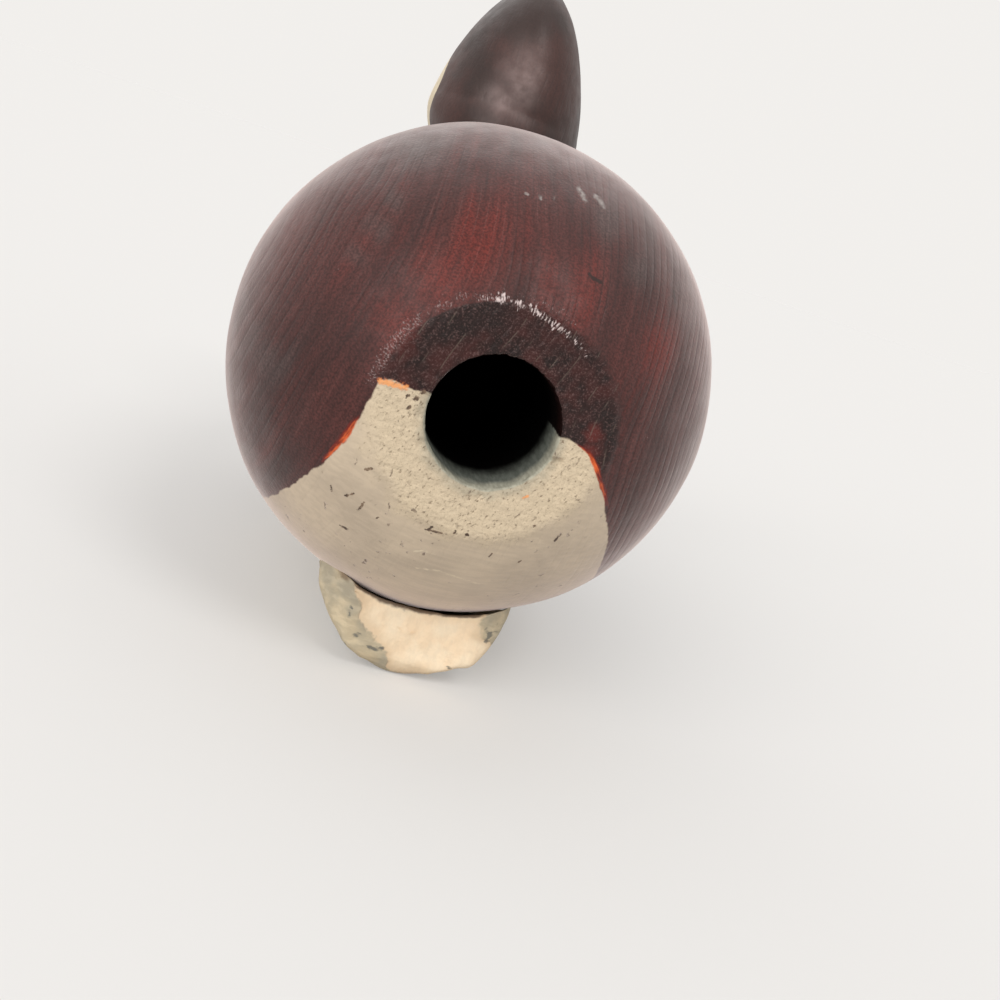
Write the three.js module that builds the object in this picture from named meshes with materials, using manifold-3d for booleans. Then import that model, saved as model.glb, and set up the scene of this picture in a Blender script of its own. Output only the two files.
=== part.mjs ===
// A small carved duck decoy seen tail-on in its photograph: a round painted body with a bored, flat-cut
// tail end, a half-round keel under the belly and a low head that turns on a dowel.
// Millimetres, +Z up, +Y forward (the bill), +X to the duck's right.
// The origin is in the middle of the keel's flat foot.
import * as THREE from "three";
import { mergeVertices } from "three/addons/utils/BufferGeometryUtils.js";
import Module from "manifold-3d";

const wasm = await Module();
wasm.setup();

// Clearance between pieces that touch
const FIT_GAP = 0.3;

// Body: a ball-shaped rump cut flat at the tail, drawn out to a drooping breast
const BODY_DIAMETER = 81;
const BREAST_LENGTH = 103;
const BREAST_DROOP = 5;
const BREAST_FULLNESS = 2.8;
const SEAT_DIAMETER = 33.5;
const BORE_DIAMETER = 19;
const BORE_DEPTH = 45;
const BORE_EDGE_RADIUS = 0.8;

// Neck shelf: the raised flat that the head sits on
const NECK_FORWARD = 68;
const SHELF_DIAMETER = 36;
const SHELF_DROP = 2.5;
const COLLAR_FLARE = 8;
const COLLAR_FLARE_HEIGHT = 18;
const COLLAR_DEPTH = 30;

// Keel: a half-round bar with a planed foot, hollowed on top to the belly
const KEEL_DEPTH = 8;
const KEEL_WIDTH = 32.5;
const KEEL_FOOT_WIDTH = 12;
const KEEL_LENGTH = 104;
const KEEL_SET_BACK = 16;
const KEEL_NOSE_CHAMFER = 3;

// Screws that hold the keel to the belly
const SCREW_LENGTH = 25;
const SCREW_DIAMETER = 4;
const SCREW_HEAD_DIAMETER = 8;
const SCREW_HEAD_HEIGHT = 2.6;
const SCREW_POINT = 5;
const SCREW_RECESS = 0.8;
const SCREW_SLOT_WIDTH = 1.1;
const SCREW_SLOT_DEPTH = 0.9;
const SCREW_END_DISTANCE = 7;

// Lead bars let into the foot of the keel
const BAR_LENGTH = 24;
const BAR_WIDTH = 7.5;
const BAR_THICKNESS = 4.2;
const BAR_RECESS = 0.6;

// Screw eye for the anchor line, in the front end of the keel
const TIE_WIRE_DIAMETER = 2;
const TIE_RING_DIAMETER = 11;
const TIE_SHANK_LENGTH = 9;
const TIE_STANDOFF = 1.5;

// Dowel that the head turns on
const DOWEL_DIAMETER = 10;
const DOWEL_IN_BODY = 18;
const DOWEL_IN_HEAD = 16;

// Head: a dome, widest at the cheeks
const HEAD_WIDTH = 35.5;
const HEAD_LENGTH = 46;
const HEAD_HEIGHT = 36.5;
const HEAD_FORWARD = 4;
const HEAD_PEAK = 1.7;
const HEAD_ROUNDNESS = 2.1;
const HEAD_BASE_TUCK = 0.14;
const CHEEK_HEIGHT = 8;

// Bill: a flat spoon on a round tenon
const BILL_LENGTH = 25;
const BILL_ROOT_WIDTH = 18;
const BILL_TIP_WIDTH = 19.5;
const BILL_ROOT_THICKNESS = 11;
const BILL_TIP_THICKNESS = 3.6;
const BILL_ROOT_OVERLAP = 7;
const BILL_EDGE_SHARE = 0.3;
const BILL_SAG = 2;
const BILL_HEIGHT = 14;
const BILL_TENON_DIAMETER = 6;
const BILL_TENON_LENGTH = 9;
const BILL_TENON_IN_BILL = 8;

// Glass eyes
const GLASS_EYE_DIAMETER = 6;
const GLASS_EYE_HEIGHT = 20;
const GLASS_EYE_BEARING = 55;
const GLASS_EYE_SHOWN = 0.32;

// Places that follow from the sizes above
const BODY_RADIUS = BODY_DIAMETER / 2;
const AXIS_Z = KEEL_DEPTH + BODY_RADIUS;
const SEAT_RADIUS = SEAT_DIAMETER / 2;
const KEEL_REAR_Y = -KEEL_LENGTH / 2;
const KEEL_FRONT_Y = KEEL_LENGTH / 2;
const KEEL_TOP_Z = AXIS_Z - BODY_RADIUS / 2;
const TIE_HEIGHT = KEEL_DEPTH / 2;
const SEAT_Y = KEEL_REAR_Y - KEEL_SET_BACK;
const RUMP_Y = SEAT_Y + Math.sqrt(BODY_RADIUS ** 2 - SEAT_RADIUS ** 2);
const NECK_Y = RUMP_Y + NECK_FORWARD;
const SHELF_Z = AXIS_Z + BODY_RADIUS - SHELF_DROP;
const HEAD_BASE_Z = SHELF_Z + FIT_GAP;

// How far a cutting shape runs past the face that it cuts
const OVERRUN = 5;

// Sides of the round pieces
const BODY_SIDES = 52;
const BORE_SIDES = 40;
const HEAD_SIDES = 36;
const PIN_SIDES = 24;
const WIRE_SIDES = 10;
const GLASS_SIDES = 16;
const GLASS_ROWS = 10;

// A welded copy that holds positions only, without the flat triangles at the poles
function welded(geometry) {
  const bare = geometry.clone();
  bare.deleteAttribute("normal");
  bare.deleteAttribute("uv");
  const merged = mergeVertices(bare, 1e-4);
  const corners = merged.index.array;
  const kept = [];
  for (let i = 0; i < corners.length; i += 3) {
    const [a, b, c] = [corners[i], corners[i + 1], corners[i + 2]];
    if (a !== b && b !== c && c !== a) kept.push(a, b, c);
  }
  merged.setIndex(kept);
  return merged;
}

function solid(geometry) {
  const closed = welded(geometry);
  const vertProperties = Float32Array.from(closed.attributes.position.array);
  const triVerts = Uint32Array.from(closed.index.array);
  return new wasm.Manifold(new wasm.Mesh({ numProp: 3, vertProperties, triVerts }));
}

function cut(piece, ...tools) {
  return tools.reduce((rest, tool) => rest.subtract(solid(tool)), piece);
}

function geometryOf(piece) {
  const mesh = piece.getMesh();
  const geometry = new THREE.BufferGeometry();
  geometry.setAttribute("position", new THREE.BufferAttribute(Float32Array.from(mesh.vertProperties), 3));
  geometry.setIndex(new THREE.BufferAttribute(Uint32Array.from(mesh.triVerts), 1));
  geometry.computeVertexNormals();
  return geometry;
}

// Moves every vertex through place(point)
function reshaped(geometry, place) {
  const position = geometry.attributes.position;
  const point = new THREE.Vector3();
  for (let i = 0; i < position.count; i += 1) {
    place(point.fromBufferAttribute(position, i));
    position.setXYZ(i, point.x, point.y, point.z);
  }
  return geometry;
}

function lathe(profile, sides) {
  const points = profile.map(([radius, along]) => new THREE.Vector2(radius, along));
  return new THREE.LatheGeometry(points, sides);
}

// A turned piece whose profile runs up +Z
function latheZ(profile, sides) {
  return lathe(profile, sides).rotateX(Math.PI / 2);
}

function cylinderZ(radius, bottom, top, sides = PIN_SIDES) {
  return latheZ([[0, bottom], [radius, bottom], [radius, top], [0, top]], sides);
}

function cylinderY(radius, rear, front) {
  return lathe([[0, rear], [radius, rear], [radius, front], [0, front]], PIN_SIDES);
}

function materialOf(color, roughness, metalness = 0) {
  return new THREE.MeshStandardMaterial({ color, roughness, metalness });
}

function named(name, geometry, material) {
  const mesh = new THREE.Mesh(geometry, material);
  mesh.name = name;
  return mesh;
}

// The body's profile from tail to breast, grown outward by an allowance
function bodyProfile(grow) {
  const radius = BODY_RADIUS + grow;
  const length = BREAST_LENGTH + grow;
  const tailAngle = Math.asin(SEAT_RADIUS / BODY_RADIUS);
  const rumpSteps = 11;
  const breastSteps = 16;
  const profile = [[0, RUMP_Y - radius * Math.cos(tailAngle)]];
  for (let i = 0; i <= rumpSteps; i += 1) {
    const angle = THREE.MathUtils.lerp(tailAngle, Math.PI / 2, i / rumpSteps);
    profile.push([radius * Math.sin(angle), RUMP_Y - radius * Math.cos(angle)]);
  }
  for (let i = 1; i < breastSteps; i += 1) {
    const share = Math.sin((i / breastSteps) * (Math.PI / 2));
    const narrowing = (1 - share ** BREAST_FULLNESS) ** (1 / BREAST_FULLNESS);
    profile.push([radius * narrowing, RUMP_Y + length * share]);
  }
  profile.push([0, RUMP_Y + length]);
  return profile;
}

// The body without its cuts: round in section, its middle line drooping towards the breast
function bodyShape(grow = 0) {
  return reshaped(lathe(bodyProfile(grow), BODY_SIDES), (point) => {
    const share = Math.max(0, (point.y - RUMP_Y) / BREAST_LENGTH);
    point.z += AXIS_Z - BREAST_DROOP * share ** 2;
  });
}

function neckCollar() {
  const neck = SHELF_DIAMETER / 2;
  const steps = 6;
  const profile = [[0, -COLLAR_DEPTH], [neck + COLLAR_FLARE, -COLLAR_DEPTH]];
  for (let i = 0; i <= steps; i += 1) {
    const below = 1 - i / steps;
    profile.push([neck + COLLAR_FLARE * below ** 2, -COLLAR_FLARE_HEIGHT * below]);
  }
  profile.push([0, 0]);
  return latheZ(profile, BODY_SIDES).translate(0, NECK_Y, SHELF_Z);
}

// Everything over the neck shelf that the body must not rise into
function shelfTrim() {
  const radius = SHELF_DIAMETER / 2 + COLLAR_FLARE;
  return cylinderZ(radius, SHELF_Z, SHELF_Z + BODY_RADIUS, BODY_SIDES).translate(0, NECK_Y, 0);
}

// The tail bore, with its worn round edge
function tailBore() {
  const radius = BORE_DIAMETER / 2;
  const edge = BORE_EDGE_RADIUS;
  const profile = [[0, SEAT_Y - OVERRUN], [radius + edge, SEAT_Y - OVERRUN]];
  const steps = 3;
  for (let i = 0; i <= steps; i += 1) {
    const angle = (i / steps) * (Math.PI / 2);
    profile.push([radius + edge - edge * Math.sin(angle), SEAT_Y + edge - edge * Math.cos(angle)]);
  }
  profile.push([radius, SEAT_Y + BORE_DEPTH], [0, SEAT_Y + BORE_DEPTH]);
  return lathe(profile, BORE_SIDES).translate(0, 0, AXIS_Z);
}

function neckDowel(grow = 0) {
  const bottom = SHELF_Z - DOWEL_IN_BODY - grow;
  const top = HEAD_BASE_Z + DOWEL_IN_HEAD + grow;
  return cylinderZ(DOWEL_DIAMETER / 2 + grow, bottom, top).translate(0, NECK_Y, 0);
}

// A countersunk wood screw driven up through the keel; the grown one is the hole that it fills
function keelScrew(grow = 0) {
  const shank = SCREW_DIAMETER / 2 + grow;
  const head = SCREW_HEAD_DIAMETER / 2 + grow;
  const start = grow > 0 ? -OVERRUN : SCREW_RECESS;
  const end = SCREW_RECESS + SCREW_LENGTH + grow;
  const profile = [
    [0, start],
    [head, start],
    [head, SCREW_RECESS],
    [shank, SCREW_RECESS + SCREW_HEAD_HEIGHT],
    [shank, end - SCREW_POINT],
    [0, end],
  ];
  return latheZ(profile, PIN_SIDES);
}

// The front screw stands behind the shank of the line tie
const screwPlaces = [
  { name: "keel_screw_rear", y: KEEL_REAR_Y + SCREW_END_DISTANCE },
  { name: "keel_screw_front", y: KEEL_FRONT_Y - TIE_SHANK_LENGTH - SCREW_END_DISTANCE },
];

function keelScrewMesh({ name, y }) {
  const slotLength = SCREW_HEAD_DIAMETER + OVERRUN;
  const slot = new THREE.BoxGeometry(slotLength, SCREW_SLOT_WIDTH, 2 * SCREW_SLOT_DEPTH);
  const screw = cut(solid(keelScrew()), slot.translate(0, 0, SCREW_RECESS));
  const mesh = named(name, geometryOf(screw), materialOf(0x9a7d45, 0.45, 0.9));
  mesh.position.y = y;
  return mesh;
}

// A bar with round ends; the grown one is the slot routed for it
function ballastBar(grow = 0) {
  const radius = BAR_WIDTH / 2 + grow;
  const straight = (BAR_LENGTH - BAR_WIDTH) / 2;
  const outline = new THREE.Shape();
  outline.absarc(0, straight, radius, 0, Math.PI, false);
  outline.absarc(0, -straight, radius, Math.PI, 2 * Math.PI, false);
  const foot = grow > 0 ? -OVERRUN : BAR_RECESS;
  const depth = BAR_RECESS + BAR_THICKNESS + grow - foot;
  const bar = new THREE.ExtrudeGeometry(outline, { depth, bevelEnabled: false, curveSegments: 10 });
  return bar.translate(0, 0, foot);
}

// Each bar lies midway between the middle of the keel and the screw head on its side
const barPlaces = screwPlaces.map(({ name, y }) => ({
  name: name.replace("keel_screw", "ballast_bar"),
  y: (y - Math.sign(y) * (SCREW_HEAD_DIAMETER / 2)) / 2,
}));

function ballastBarMesh({ name, y }) {
  const mesh = named(name, welded(ballastBar()), materialOf(0x6f7276, 0.6, 0.8));
  mesh.geometry.computeVertexNormals();
  mesh.position.y = y;
  return mesh;
}

function eyeShank(grow = 0) {
  const rear = KEEL_FRONT_Y - TIE_SHANK_LENGTH - grow;
  const front = KEEL_FRONT_Y + TIE_STANDOFF + TIE_WIRE_DIAMETER / 2;
  return cylinderY(TIE_WIRE_DIAMETER / 2 + grow, rear, front).translate(0, 0, TIE_HEIGHT);
}

function lineTieEye() {
  const wire = TIE_WIRE_DIAMETER / 2;
  const middle = (TIE_RING_DIAMETER - TIE_WIRE_DIAMETER) / 2;
  const ring = new THREE.TorusGeometry(middle, wire, WIRE_SIDES, PIN_SIDES);
  ring.translate(0, KEEL_FRONT_Y + TIE_STANDOFF + TIE_RING_DIAMETER / 2, TIE_HEIGHT);
  return named("line_tie_eye", geometryOf(solid(ring).add(solid(eyeShank()))), materialOf(0xb08d4a, 0.4, 0.9));
}

// The keel's end outline: half-round, with its lowest part planed to a flat foot
function keelSection() {
  const half = KEEL_WIDTH / 2;
  const middle = Math.sqrt(half ** 2 - (KEEL_FOOT_WIDTH / 2) ** 2);
  const footAngle = Math.asin(middle / half);
  const section = new THREE.Shape();
  section.moveTo(-half, AXIS_Z);
  section.absarc(0, middle, half, Math.PI, Math.PI + footAngle, false);
  section.absarc(0, middle, half, 2 * Math.PI - footAngle, 2 * Math.PI, false);
  section.lineTo(half, AXIS_Z);
  return section;
}

// The keel's side outline, with its bevelled nose
function keelSide() {
  const side = new THREE.Shape();
  side.moveTo(KEEL_REAR_Y, -OVERRUN);
  side.lineTo(KEEL_FRONT_Y - KEEL_NOSE_CHAMFER - OVERRUN, -OVERRUN);
  side.lineTo(KEEL_FRONT_Y, KEEL_NOSE_CHAMFER);
  side.lineTo(KEEL_FRONT_Y, KEEL_TOP_Z);
  side.lineTo(KEEL_REAR_Y, KEEL_TOP_Z);
  return side;
}

function keel() {
  const span = KEEL_LENGTH + 2 * OVERRUN;
  const bar = new THREE.ExtrudeGeometry(keelSection(), { depth: span, bevelEnabled: false, curveSegments: 8 });
  bar.rotateX(Math.PI / 2).translate(0, KEEL_FRONT_Y + OVERRUN, 0);
  const breadth = KEEL_WIDTH + 2 * OVERRUN;
  const side = new THREE.ExtrudeGeometry(keelSide(), { depth: breadth, bevelEnabled: false });
  // The outline's first axis turns to +Y, its second to +Z and its depth to +X
  side.applyMatrix4(new THREE.Matrix4().makeBasis(
    new THREE.Vector3(0, 1, 0), new THREE.Vector3(0, 0, 1), new THREE.Vector3(1, 0, 0)));
  side.translate(-breadth / 2, 0, 0);
  const block = solid(bar).intersect(solid(side));
  const holes = screwPlaces.map(({ y }) => keelScrew(FIT_GAP).translate(0, y, 0));
  const slots = barPlaces.map(({ y }) => ballastBar(FIT_GAP).translate(0, y, 0));
  const hollowed = cut(block, bodyShape(FIT_GAP), ...holes, ...slots, eyeShank(FIT_GAP));
  return named("keel", geometryOf(hollowed), materialOf(0xcabf9f, 0.75));
}

function body() {
  const block = solid(bodyShape()).add(solid(neckCollar()));
  const pilots = screwPlaces.map(({ y }) => keelScrew(FIT_GAP).translate(0, y, 0));
  const carved = cut(block, shelfTrim(), tailBore(), neckDowel(FIT_GAP), ...pilots);
  return named("body", geometryOf(carved), materialOf(0x5c3a38, 0.55));
}

// Half width and half length of the head at a height over its base
function headHalves(height, grow) {
  const share = THREE.MathUtils.clamp(height / HEAD_HEIGHT, 0, 1);
  const tuck = 1 - HEAD_BASE_TUCK * Math.max(0, 1 - height / CHEEK_HEIGHT) ** 2;
  const narrowing = (power) => (1 - share ** power) ** (1 / power);
  return {
    width: (HEAD_WIDTH / 2) * tuck * narrowing(HEAD_PEAK) + grow,
    length: (HEAD_LENGTH / 2) * tuck * narrowing(HEAD_ROUNDNESS) + grow,
  };
}

// How far the head's middle lies in front of the neck at a height over its base
function headForward(height) {
  return HEAD_FORWARD * Math.min(1, Math.max(0, height) / CHEEK_HEIGHT);
}

function headShape(grow = 0) {
  const steps = 14;
  const profile = [[0, 0]];
  for (let i = 0; i < steps; i += 1) {
    profile.push([1, HEAD_HEIGHT * Math.sin((i / steps) * (Math.PI / 2))]);
  }
  profile.push([0, HEAD_HEIGHT]);
  return reshaped(latheZ(profile, HEAD_SIDES), (point) => {
    const { width, length } = headHalves(point.z, grow);
    point.set(point.x * width, NECK_Y + headForward(point.z) + point.y * length, HEAD_BASE_Z + point.z);
  });
}

const EYE_SIDES = [
  { name: "left_eye", side: -1 },
  { name: "right_eye", side: 1 },
];

// Middle of a glass eye, sunk so that only its shown share stands out of the cheek
function glassEyeCentre(side) {
  const { width, length } = headHalves(GLASS_EYE_HEIGHT, 0);
  const bearing = THREE.MathUtils.degToRad(GLASS_EYE_BEARING);
  const surface = new THREE.Vector3(side * width * Math.sin(bearing), length * Math.cos(bearing), 0);
  const outward = new THREE.Vector3(surface.x / width ** 2, surface.y / length ** 2, 0).normalize();
  surface.addScaledVector(outward, GLASS_EYE_DIAMETER * (GLASS_EYE_SHOWN - 0.5));
  surface.y += NECK_Y + headForward(GLASS_EYE_HEIGHT);
  surface.z = HEAD_BASE_Z + GLASS_EYE_HEIGHT;
  return surface;
}

function glassEye(side, grow = 0) {
  const centre = glassEyeCentre(side);
  const ball = new THREE.SphereGeometry(GLASS_EYE_DIAMETER / 2 + grow, GLASS_SIDES, GLASS_ROWS);
  return ball.translate(centre.x, centre.y, centre.z);
}

function glassEyeMesh({ name, side }) {
  const ball = welded(glassEye(side));
  ball.computeVertexNormals();
  return named(name, ball, materialOf(0x2a1408, 0.08));
}

// Where the front of the head meets the middle of the bill
function billRootY() {
  return NECK_Y + headForward(BILL_HEIGHT) + headHalves(BILL_HEIGHT, 0).length;
}

function billTenon(grow = 0) {
  const rear = billRootY() - BILL_TENON_LENGTH - grow;
  const front = billRootY() + BILL_TENON_IN_BILL;
  return cylinderY(BILL_TENON_DIAMETER / 2 + grow, rear, front).translate(0, 0, HEAD_BASE_Z + BILL_HEIGHT);
}

// The bill's plan: slightly waisted, then a broad round tip
function billPlan() {
  const root = BILL_ROOT_WIDTH / 2;
  const tip = BILL_TIP_WIDTH / 2;
  const waist = BILL_LENGTH - tip;
  const plan = new THREE.Shape();
  plan.moveTo(-root, -BILL_ROOT_OVERLAP);
  plan.lineTo(root, -BILL_ROOT_OVERLAP);
  plan.bezierCurveTo(root, waist / 3, tip, waist / 2, tip, waist);
  plan.absarc(0, waist, tip, 0, Math.PI, false);
  plan.bezierCurveTo(-tip, waist / 2, -root, waist / 3, -root, -BILL_ROOT_OVERLAP);
  return plan;
}

function bill() {
  const edge = BILL_TIP_THICKNESS / 2;
  // One unit thick at first, with a rounded edge, then thinned from root to tip
  const blade = new THREE.ExtrudeGeometry(billPlan(), {
    depth: 1 - 2 * BILL_EDGE_SHARE,
    bevelThickness: BILL_EDGE_SHARE,
    bevelSize: edge,
    bevelOffset: -edge,
    bevelSegments: 2,
    curveSegments: 9,
  });
  reshaped(blade.translate(0, 0, BILL_EDGE_SHARE - 0.5), (point) => {
    const left = 1 - THREE.MathUtils.clamp(point.y / BILL_LENGTH, 0, 1);
    const thickness = THREE.MathUtils.lerp(BILL_TIP_THICKNESS, BILL_ROOT_THICKNESS, left ** 2);
    const sag = BILL_SAG * (1 - left ** 2);
    point.y += billRootY();
    point.z = HEAD_BASE_Z + BILL_HEIGHT + thickness * point.z - sag;
  });
  const fitted = cut(solid(blade), headShape(FIT_GAP)).add(solid(billTenon()));
  return named("bill", geometryOf(fitted), materialOf(0x59646c, 0.45));
}

function head() {
  const sockets = EYE_SIDES.map(({ side }) => glassEye(side, FIT_GAP));
  const carved = cut(solid(headShape()), neckDowel(FIT_GAP), billTenon(FIT_GAP), ...sockets);
  return named("head", geometryOf(carved), materialOf(0x52403e, 0.5));
}

function dowel() {
  const peg = welded(neckDowel());
  peg.computeVertexNormals();
  return named("neck_dowel", peg, materialOf(0xc9a574, 0.8));
}

// The part that stays still, and the head that turns on its dowel
const standing = new THREE.Group();
standing.add(body(), keel(), dowel(), lineTieEye());
standing.add(...screwPlaces.map(keelScrewMesh), ...barPlaces.map(ballastBarMesh));

const turning = new THREE.Group();
turning.add(head(), bill(), ...EYE_SIDES.map(glassEyeMesh));

const duckDecoy = new THREE.Group();
duckDecoy.name = "duck_decoy";
duckDecoy.add(standing, turning);

export default duckDecoy;
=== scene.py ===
"""A small carved and painted duck decoy, seen from behind its bored tail end."""
import math
from itertools import product

import bmesh
import bpy
import numpy as np
from mathutils import Matrix, Vector


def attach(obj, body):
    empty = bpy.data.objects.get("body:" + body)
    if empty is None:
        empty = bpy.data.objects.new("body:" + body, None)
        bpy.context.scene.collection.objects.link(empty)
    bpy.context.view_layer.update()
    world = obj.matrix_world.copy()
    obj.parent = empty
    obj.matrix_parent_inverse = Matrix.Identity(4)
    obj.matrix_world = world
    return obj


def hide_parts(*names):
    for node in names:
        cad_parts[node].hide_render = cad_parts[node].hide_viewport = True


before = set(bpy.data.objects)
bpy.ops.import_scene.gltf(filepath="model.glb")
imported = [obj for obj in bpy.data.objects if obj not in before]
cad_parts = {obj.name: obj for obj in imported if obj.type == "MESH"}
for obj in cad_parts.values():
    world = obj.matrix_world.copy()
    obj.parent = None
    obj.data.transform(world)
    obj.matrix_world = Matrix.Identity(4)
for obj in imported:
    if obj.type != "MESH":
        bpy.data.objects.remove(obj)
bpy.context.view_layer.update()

# Sizes are in millimetres until a mesh is made
MM = 0.001
FULL_TURN = 2 * math.pi
QUARTER_TURN = math.pi / 2

# Body: a ball-shaped rump, cut flat and bored at the tail, drawn out to a drooping breast
BODY_RADIUS = 40.5
AXIS_Z = 48.5
SEAT_Y = -68.0
SEAT_RADIUS = 16.75
RUMP_Y = SEAT_Y + math.sqrt(BODY_RADIUS ** 2 - SEAT_RADIUS ** 2)
BREAST_LENGTH = 103.0
BREAST_DROOP = 5.0
BREAST_FULLNESS = 2.8
BORE_RADIUS = 9.5
BORE_DEPTH = 45.0
BORE_EDGE = 0.8
BORE_SKIN = 0.3
RIDGE_ROUNDING = 0.5
RIDGE_END = SEAT_RADIUS + 1.5
RIDGE_STEP = 0.3
BODY_SIDES = 512
BORE_FLOOR_SHARES = (0.05, 0.4, 0.75, 0.97)
BORE_RINGS = 36
BORE_EDGE_RINGS = 8
RUMP_RINGS = 136
# Start, end and number of rings of each stretch of the breast, closest under the neck
BREAST_STRETCHES = ((0, 0.25, 30), (0.25, 0.75, 140), (0.75, 1, 32))

# Neck shelf and the collar that flares down from it
NECK_Y = RUMP_Y + 68.0
SHELF_RADIUS = 18.0
SHELF_Z = 86.5
RIM_WEAR = 2.0
RIM_PASSES = 6
COLLAR_FLARE = 8.0
COLLAR_HEIGHT = 18.0
COLLAR_BLEND = 3.0
FLARE_SOFTNESS = 0.02
FLARE_START = 0.141
FLARE_SPAN = 0.869

# Keel
KEEL_HALF_LENGTH = 52.0
KEEL_RADIUS = 16.25
KEEL_FOOT = 6.0
KEEL_NOSE = 3.0
KEEL_GAP = 0.3
KEEL_ROUNDING = 1.2
KEEL_CENTRE_Z = math.sqrt(KEEL_RADIUS ** 2 - KEEL_FOOT ** 2)
KEEL_END_Z = 8.0
KEEL_WORKED = 12.0
KEEL_FOOT_RISE = 1.75
KEEL_FOOT_FLAT = 5.5
KEEL_SIDE_POINTS = 30
KEEL_SOLE_POINTS = 20
KEEL_TOP_POINTS = 44
KEEL_END_RINGS = 16
KEEL_END_START = 0.06
KEEL_EDGE_RINGS = 6
KEEL_SIDE_RINGS = 110
SHARP_EDGE = math.radians(40)
# Knife facets at the rear end, each with the place where it starts and its slope
LEFT_FACET = (9.8, 0.7)
RIGHT_FACET = (12.0, 0.5)
LOW_FACET = (-3.0, 0.5)

# Pockets in the keel's foot for screws and lead bars
POCKET_START = -3.0
SCREW_PLACES = (-45.0, 36.0)
SCREW_HEAD_RADIUS = 4.0
SCREW_SHANK_RADIUS = 2.3
SCREW_RIM = 0.8
SCREW_TOP = 3.4
SCREW_HOLE_TOP = 30.0
BAR_PLACES = {"rear": -20.5, "front": 16.0}
BAR_RADIUS = 3.75
BAR_STRAIGHT = 8.25
BAR_BOTTOM = 0.6
BAR_TOP = 4.8
BAR_EDGE = 0.5
BAR_EDGE_RINGS = 5
BAR_FACE_SHARES = (0.25, 0.5, 0.75)
BAR_WAIST_Z = 2.5
BAR_DENT = 0.12
BAR_DENT_TOP = 2.0

# Line tie
TIE_Z = 4.0
TIE_WIRE = 1.0
TIE_RING = 4.5
TIE_RING_Y = 59.0
TIE_GAP = (0.02, 0.06)
TIE_SHANK = (43.0, 54.5)
TIE_POINT = 3.0
TIE_POINT_SHARE = 0.15
TIE_SHANK_RINGS = 90
TIE_LOOP_RINGS = 96
THREAD_DEPTH = 0.16
THREAD_PITCH = 1.1

# Head, bill and eyes
HEAD_BASE_Z = 86.8
HEAD_HALF_WIDTH = 17.75
HEAD_HALF_LENGTH = 23.0
HEAD_HEIGHT = 36.5
HEAD_FORWARD = 4.0
HEAD_PEAK = 1.7
HEAD_ROUNDNESS = 2.1
HEAD_TUCK = 0.14
HEAD_SIDES = 160
HEAD_RINGS = 96
CHEEK_HEIGHT = 8.0
CHEEK_MIDDLE = (7.0, 7.5)
CHEEK_REACH = (13.5, 10.5)
BILL_HEIGHT = 14.0
BILL_LENGTH = 25.0
BILL_TENON = 4.5
BILL_HALF_ROOT = 9.0
BILL_HALF_TIP = 9.75
BILL_WAIST = 0.9
WAIST_PLACE = 8.0
WAIST_REACH = 6.0
BILL_CROWN = 0.7
CROWN_REACH = 3.2
CROWN_FADE = (8, 20)
BILL_NAIL = 0.5
NAIL_FROM_TIP = 2.5
NAIL_SIZE = (3.0, 3.2)
NOSTRIL_PLACE = (4.6, 8.0)
NOSTRIL_SIZE = (0.9, 2.4)
NOSTRIL_DEPTH = 0.8
MOUTH_DROP = 0.8
LIP_WIDTH = 0.35
LIP_DEPTH = 0.3
LIP_START = 4.0
BILL_ROOT_THICKNESS = 11.0
BILL_TIP_THICKNESS = 3.6
BILL_SAG = 2.0
BILL_SQUARENESS = 2.6
BILL_SIDES = 72
BILL_RINGS = 70
EYE_RADIUS = 3.0
EYE_HEIGHT = 20.0
EYE_BEARING = math.radians(55)
EYE_SHOWN = 0.32
EYE_HOLLOW = 0.55
EYE_HOLLOW_RADIUS = 4.2
EYE_SIDES = 48
EYE_RINGS = 31

# Wood: growth rings stand in upright sheets along the body, and lean over in a swirl above the bore
RING_SPACING = 1.3
SWIRL_PLACE = (2.0, 10.0)
SWIRL_REACH = (14.0, 12.0)
SWIRL_LEAN = 0.42
LEFT_LEAN = 0.27
LONG_STREAK = (1, 0.1, 0.1)
SHORT_STREAK = (1, 0.35, 0.35)
BRUSH_TURN = math.radians(-32)
WARM = (1.0, 0.84, 0.8, 1.0)

# Under-tail patch: cream below the bore's middle, each side with its half width there, spread, curve
# and the spread past the curve's end
CREAM_TOP = 1.28
CREAM_TILT = 0.033
CREAM_CORNER = 2.0
CREAM_LEFT = (17.2, 0.03, 0.0185, 0.5)
CREAM_RIGHT = (13.9, 0.93, -0.0165, 0.35)
CREAM_CURVE_END = 15.0
CREAM_NARROWS_Y = -12.0
CREAM_FRONT_Y = 40.0

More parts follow.
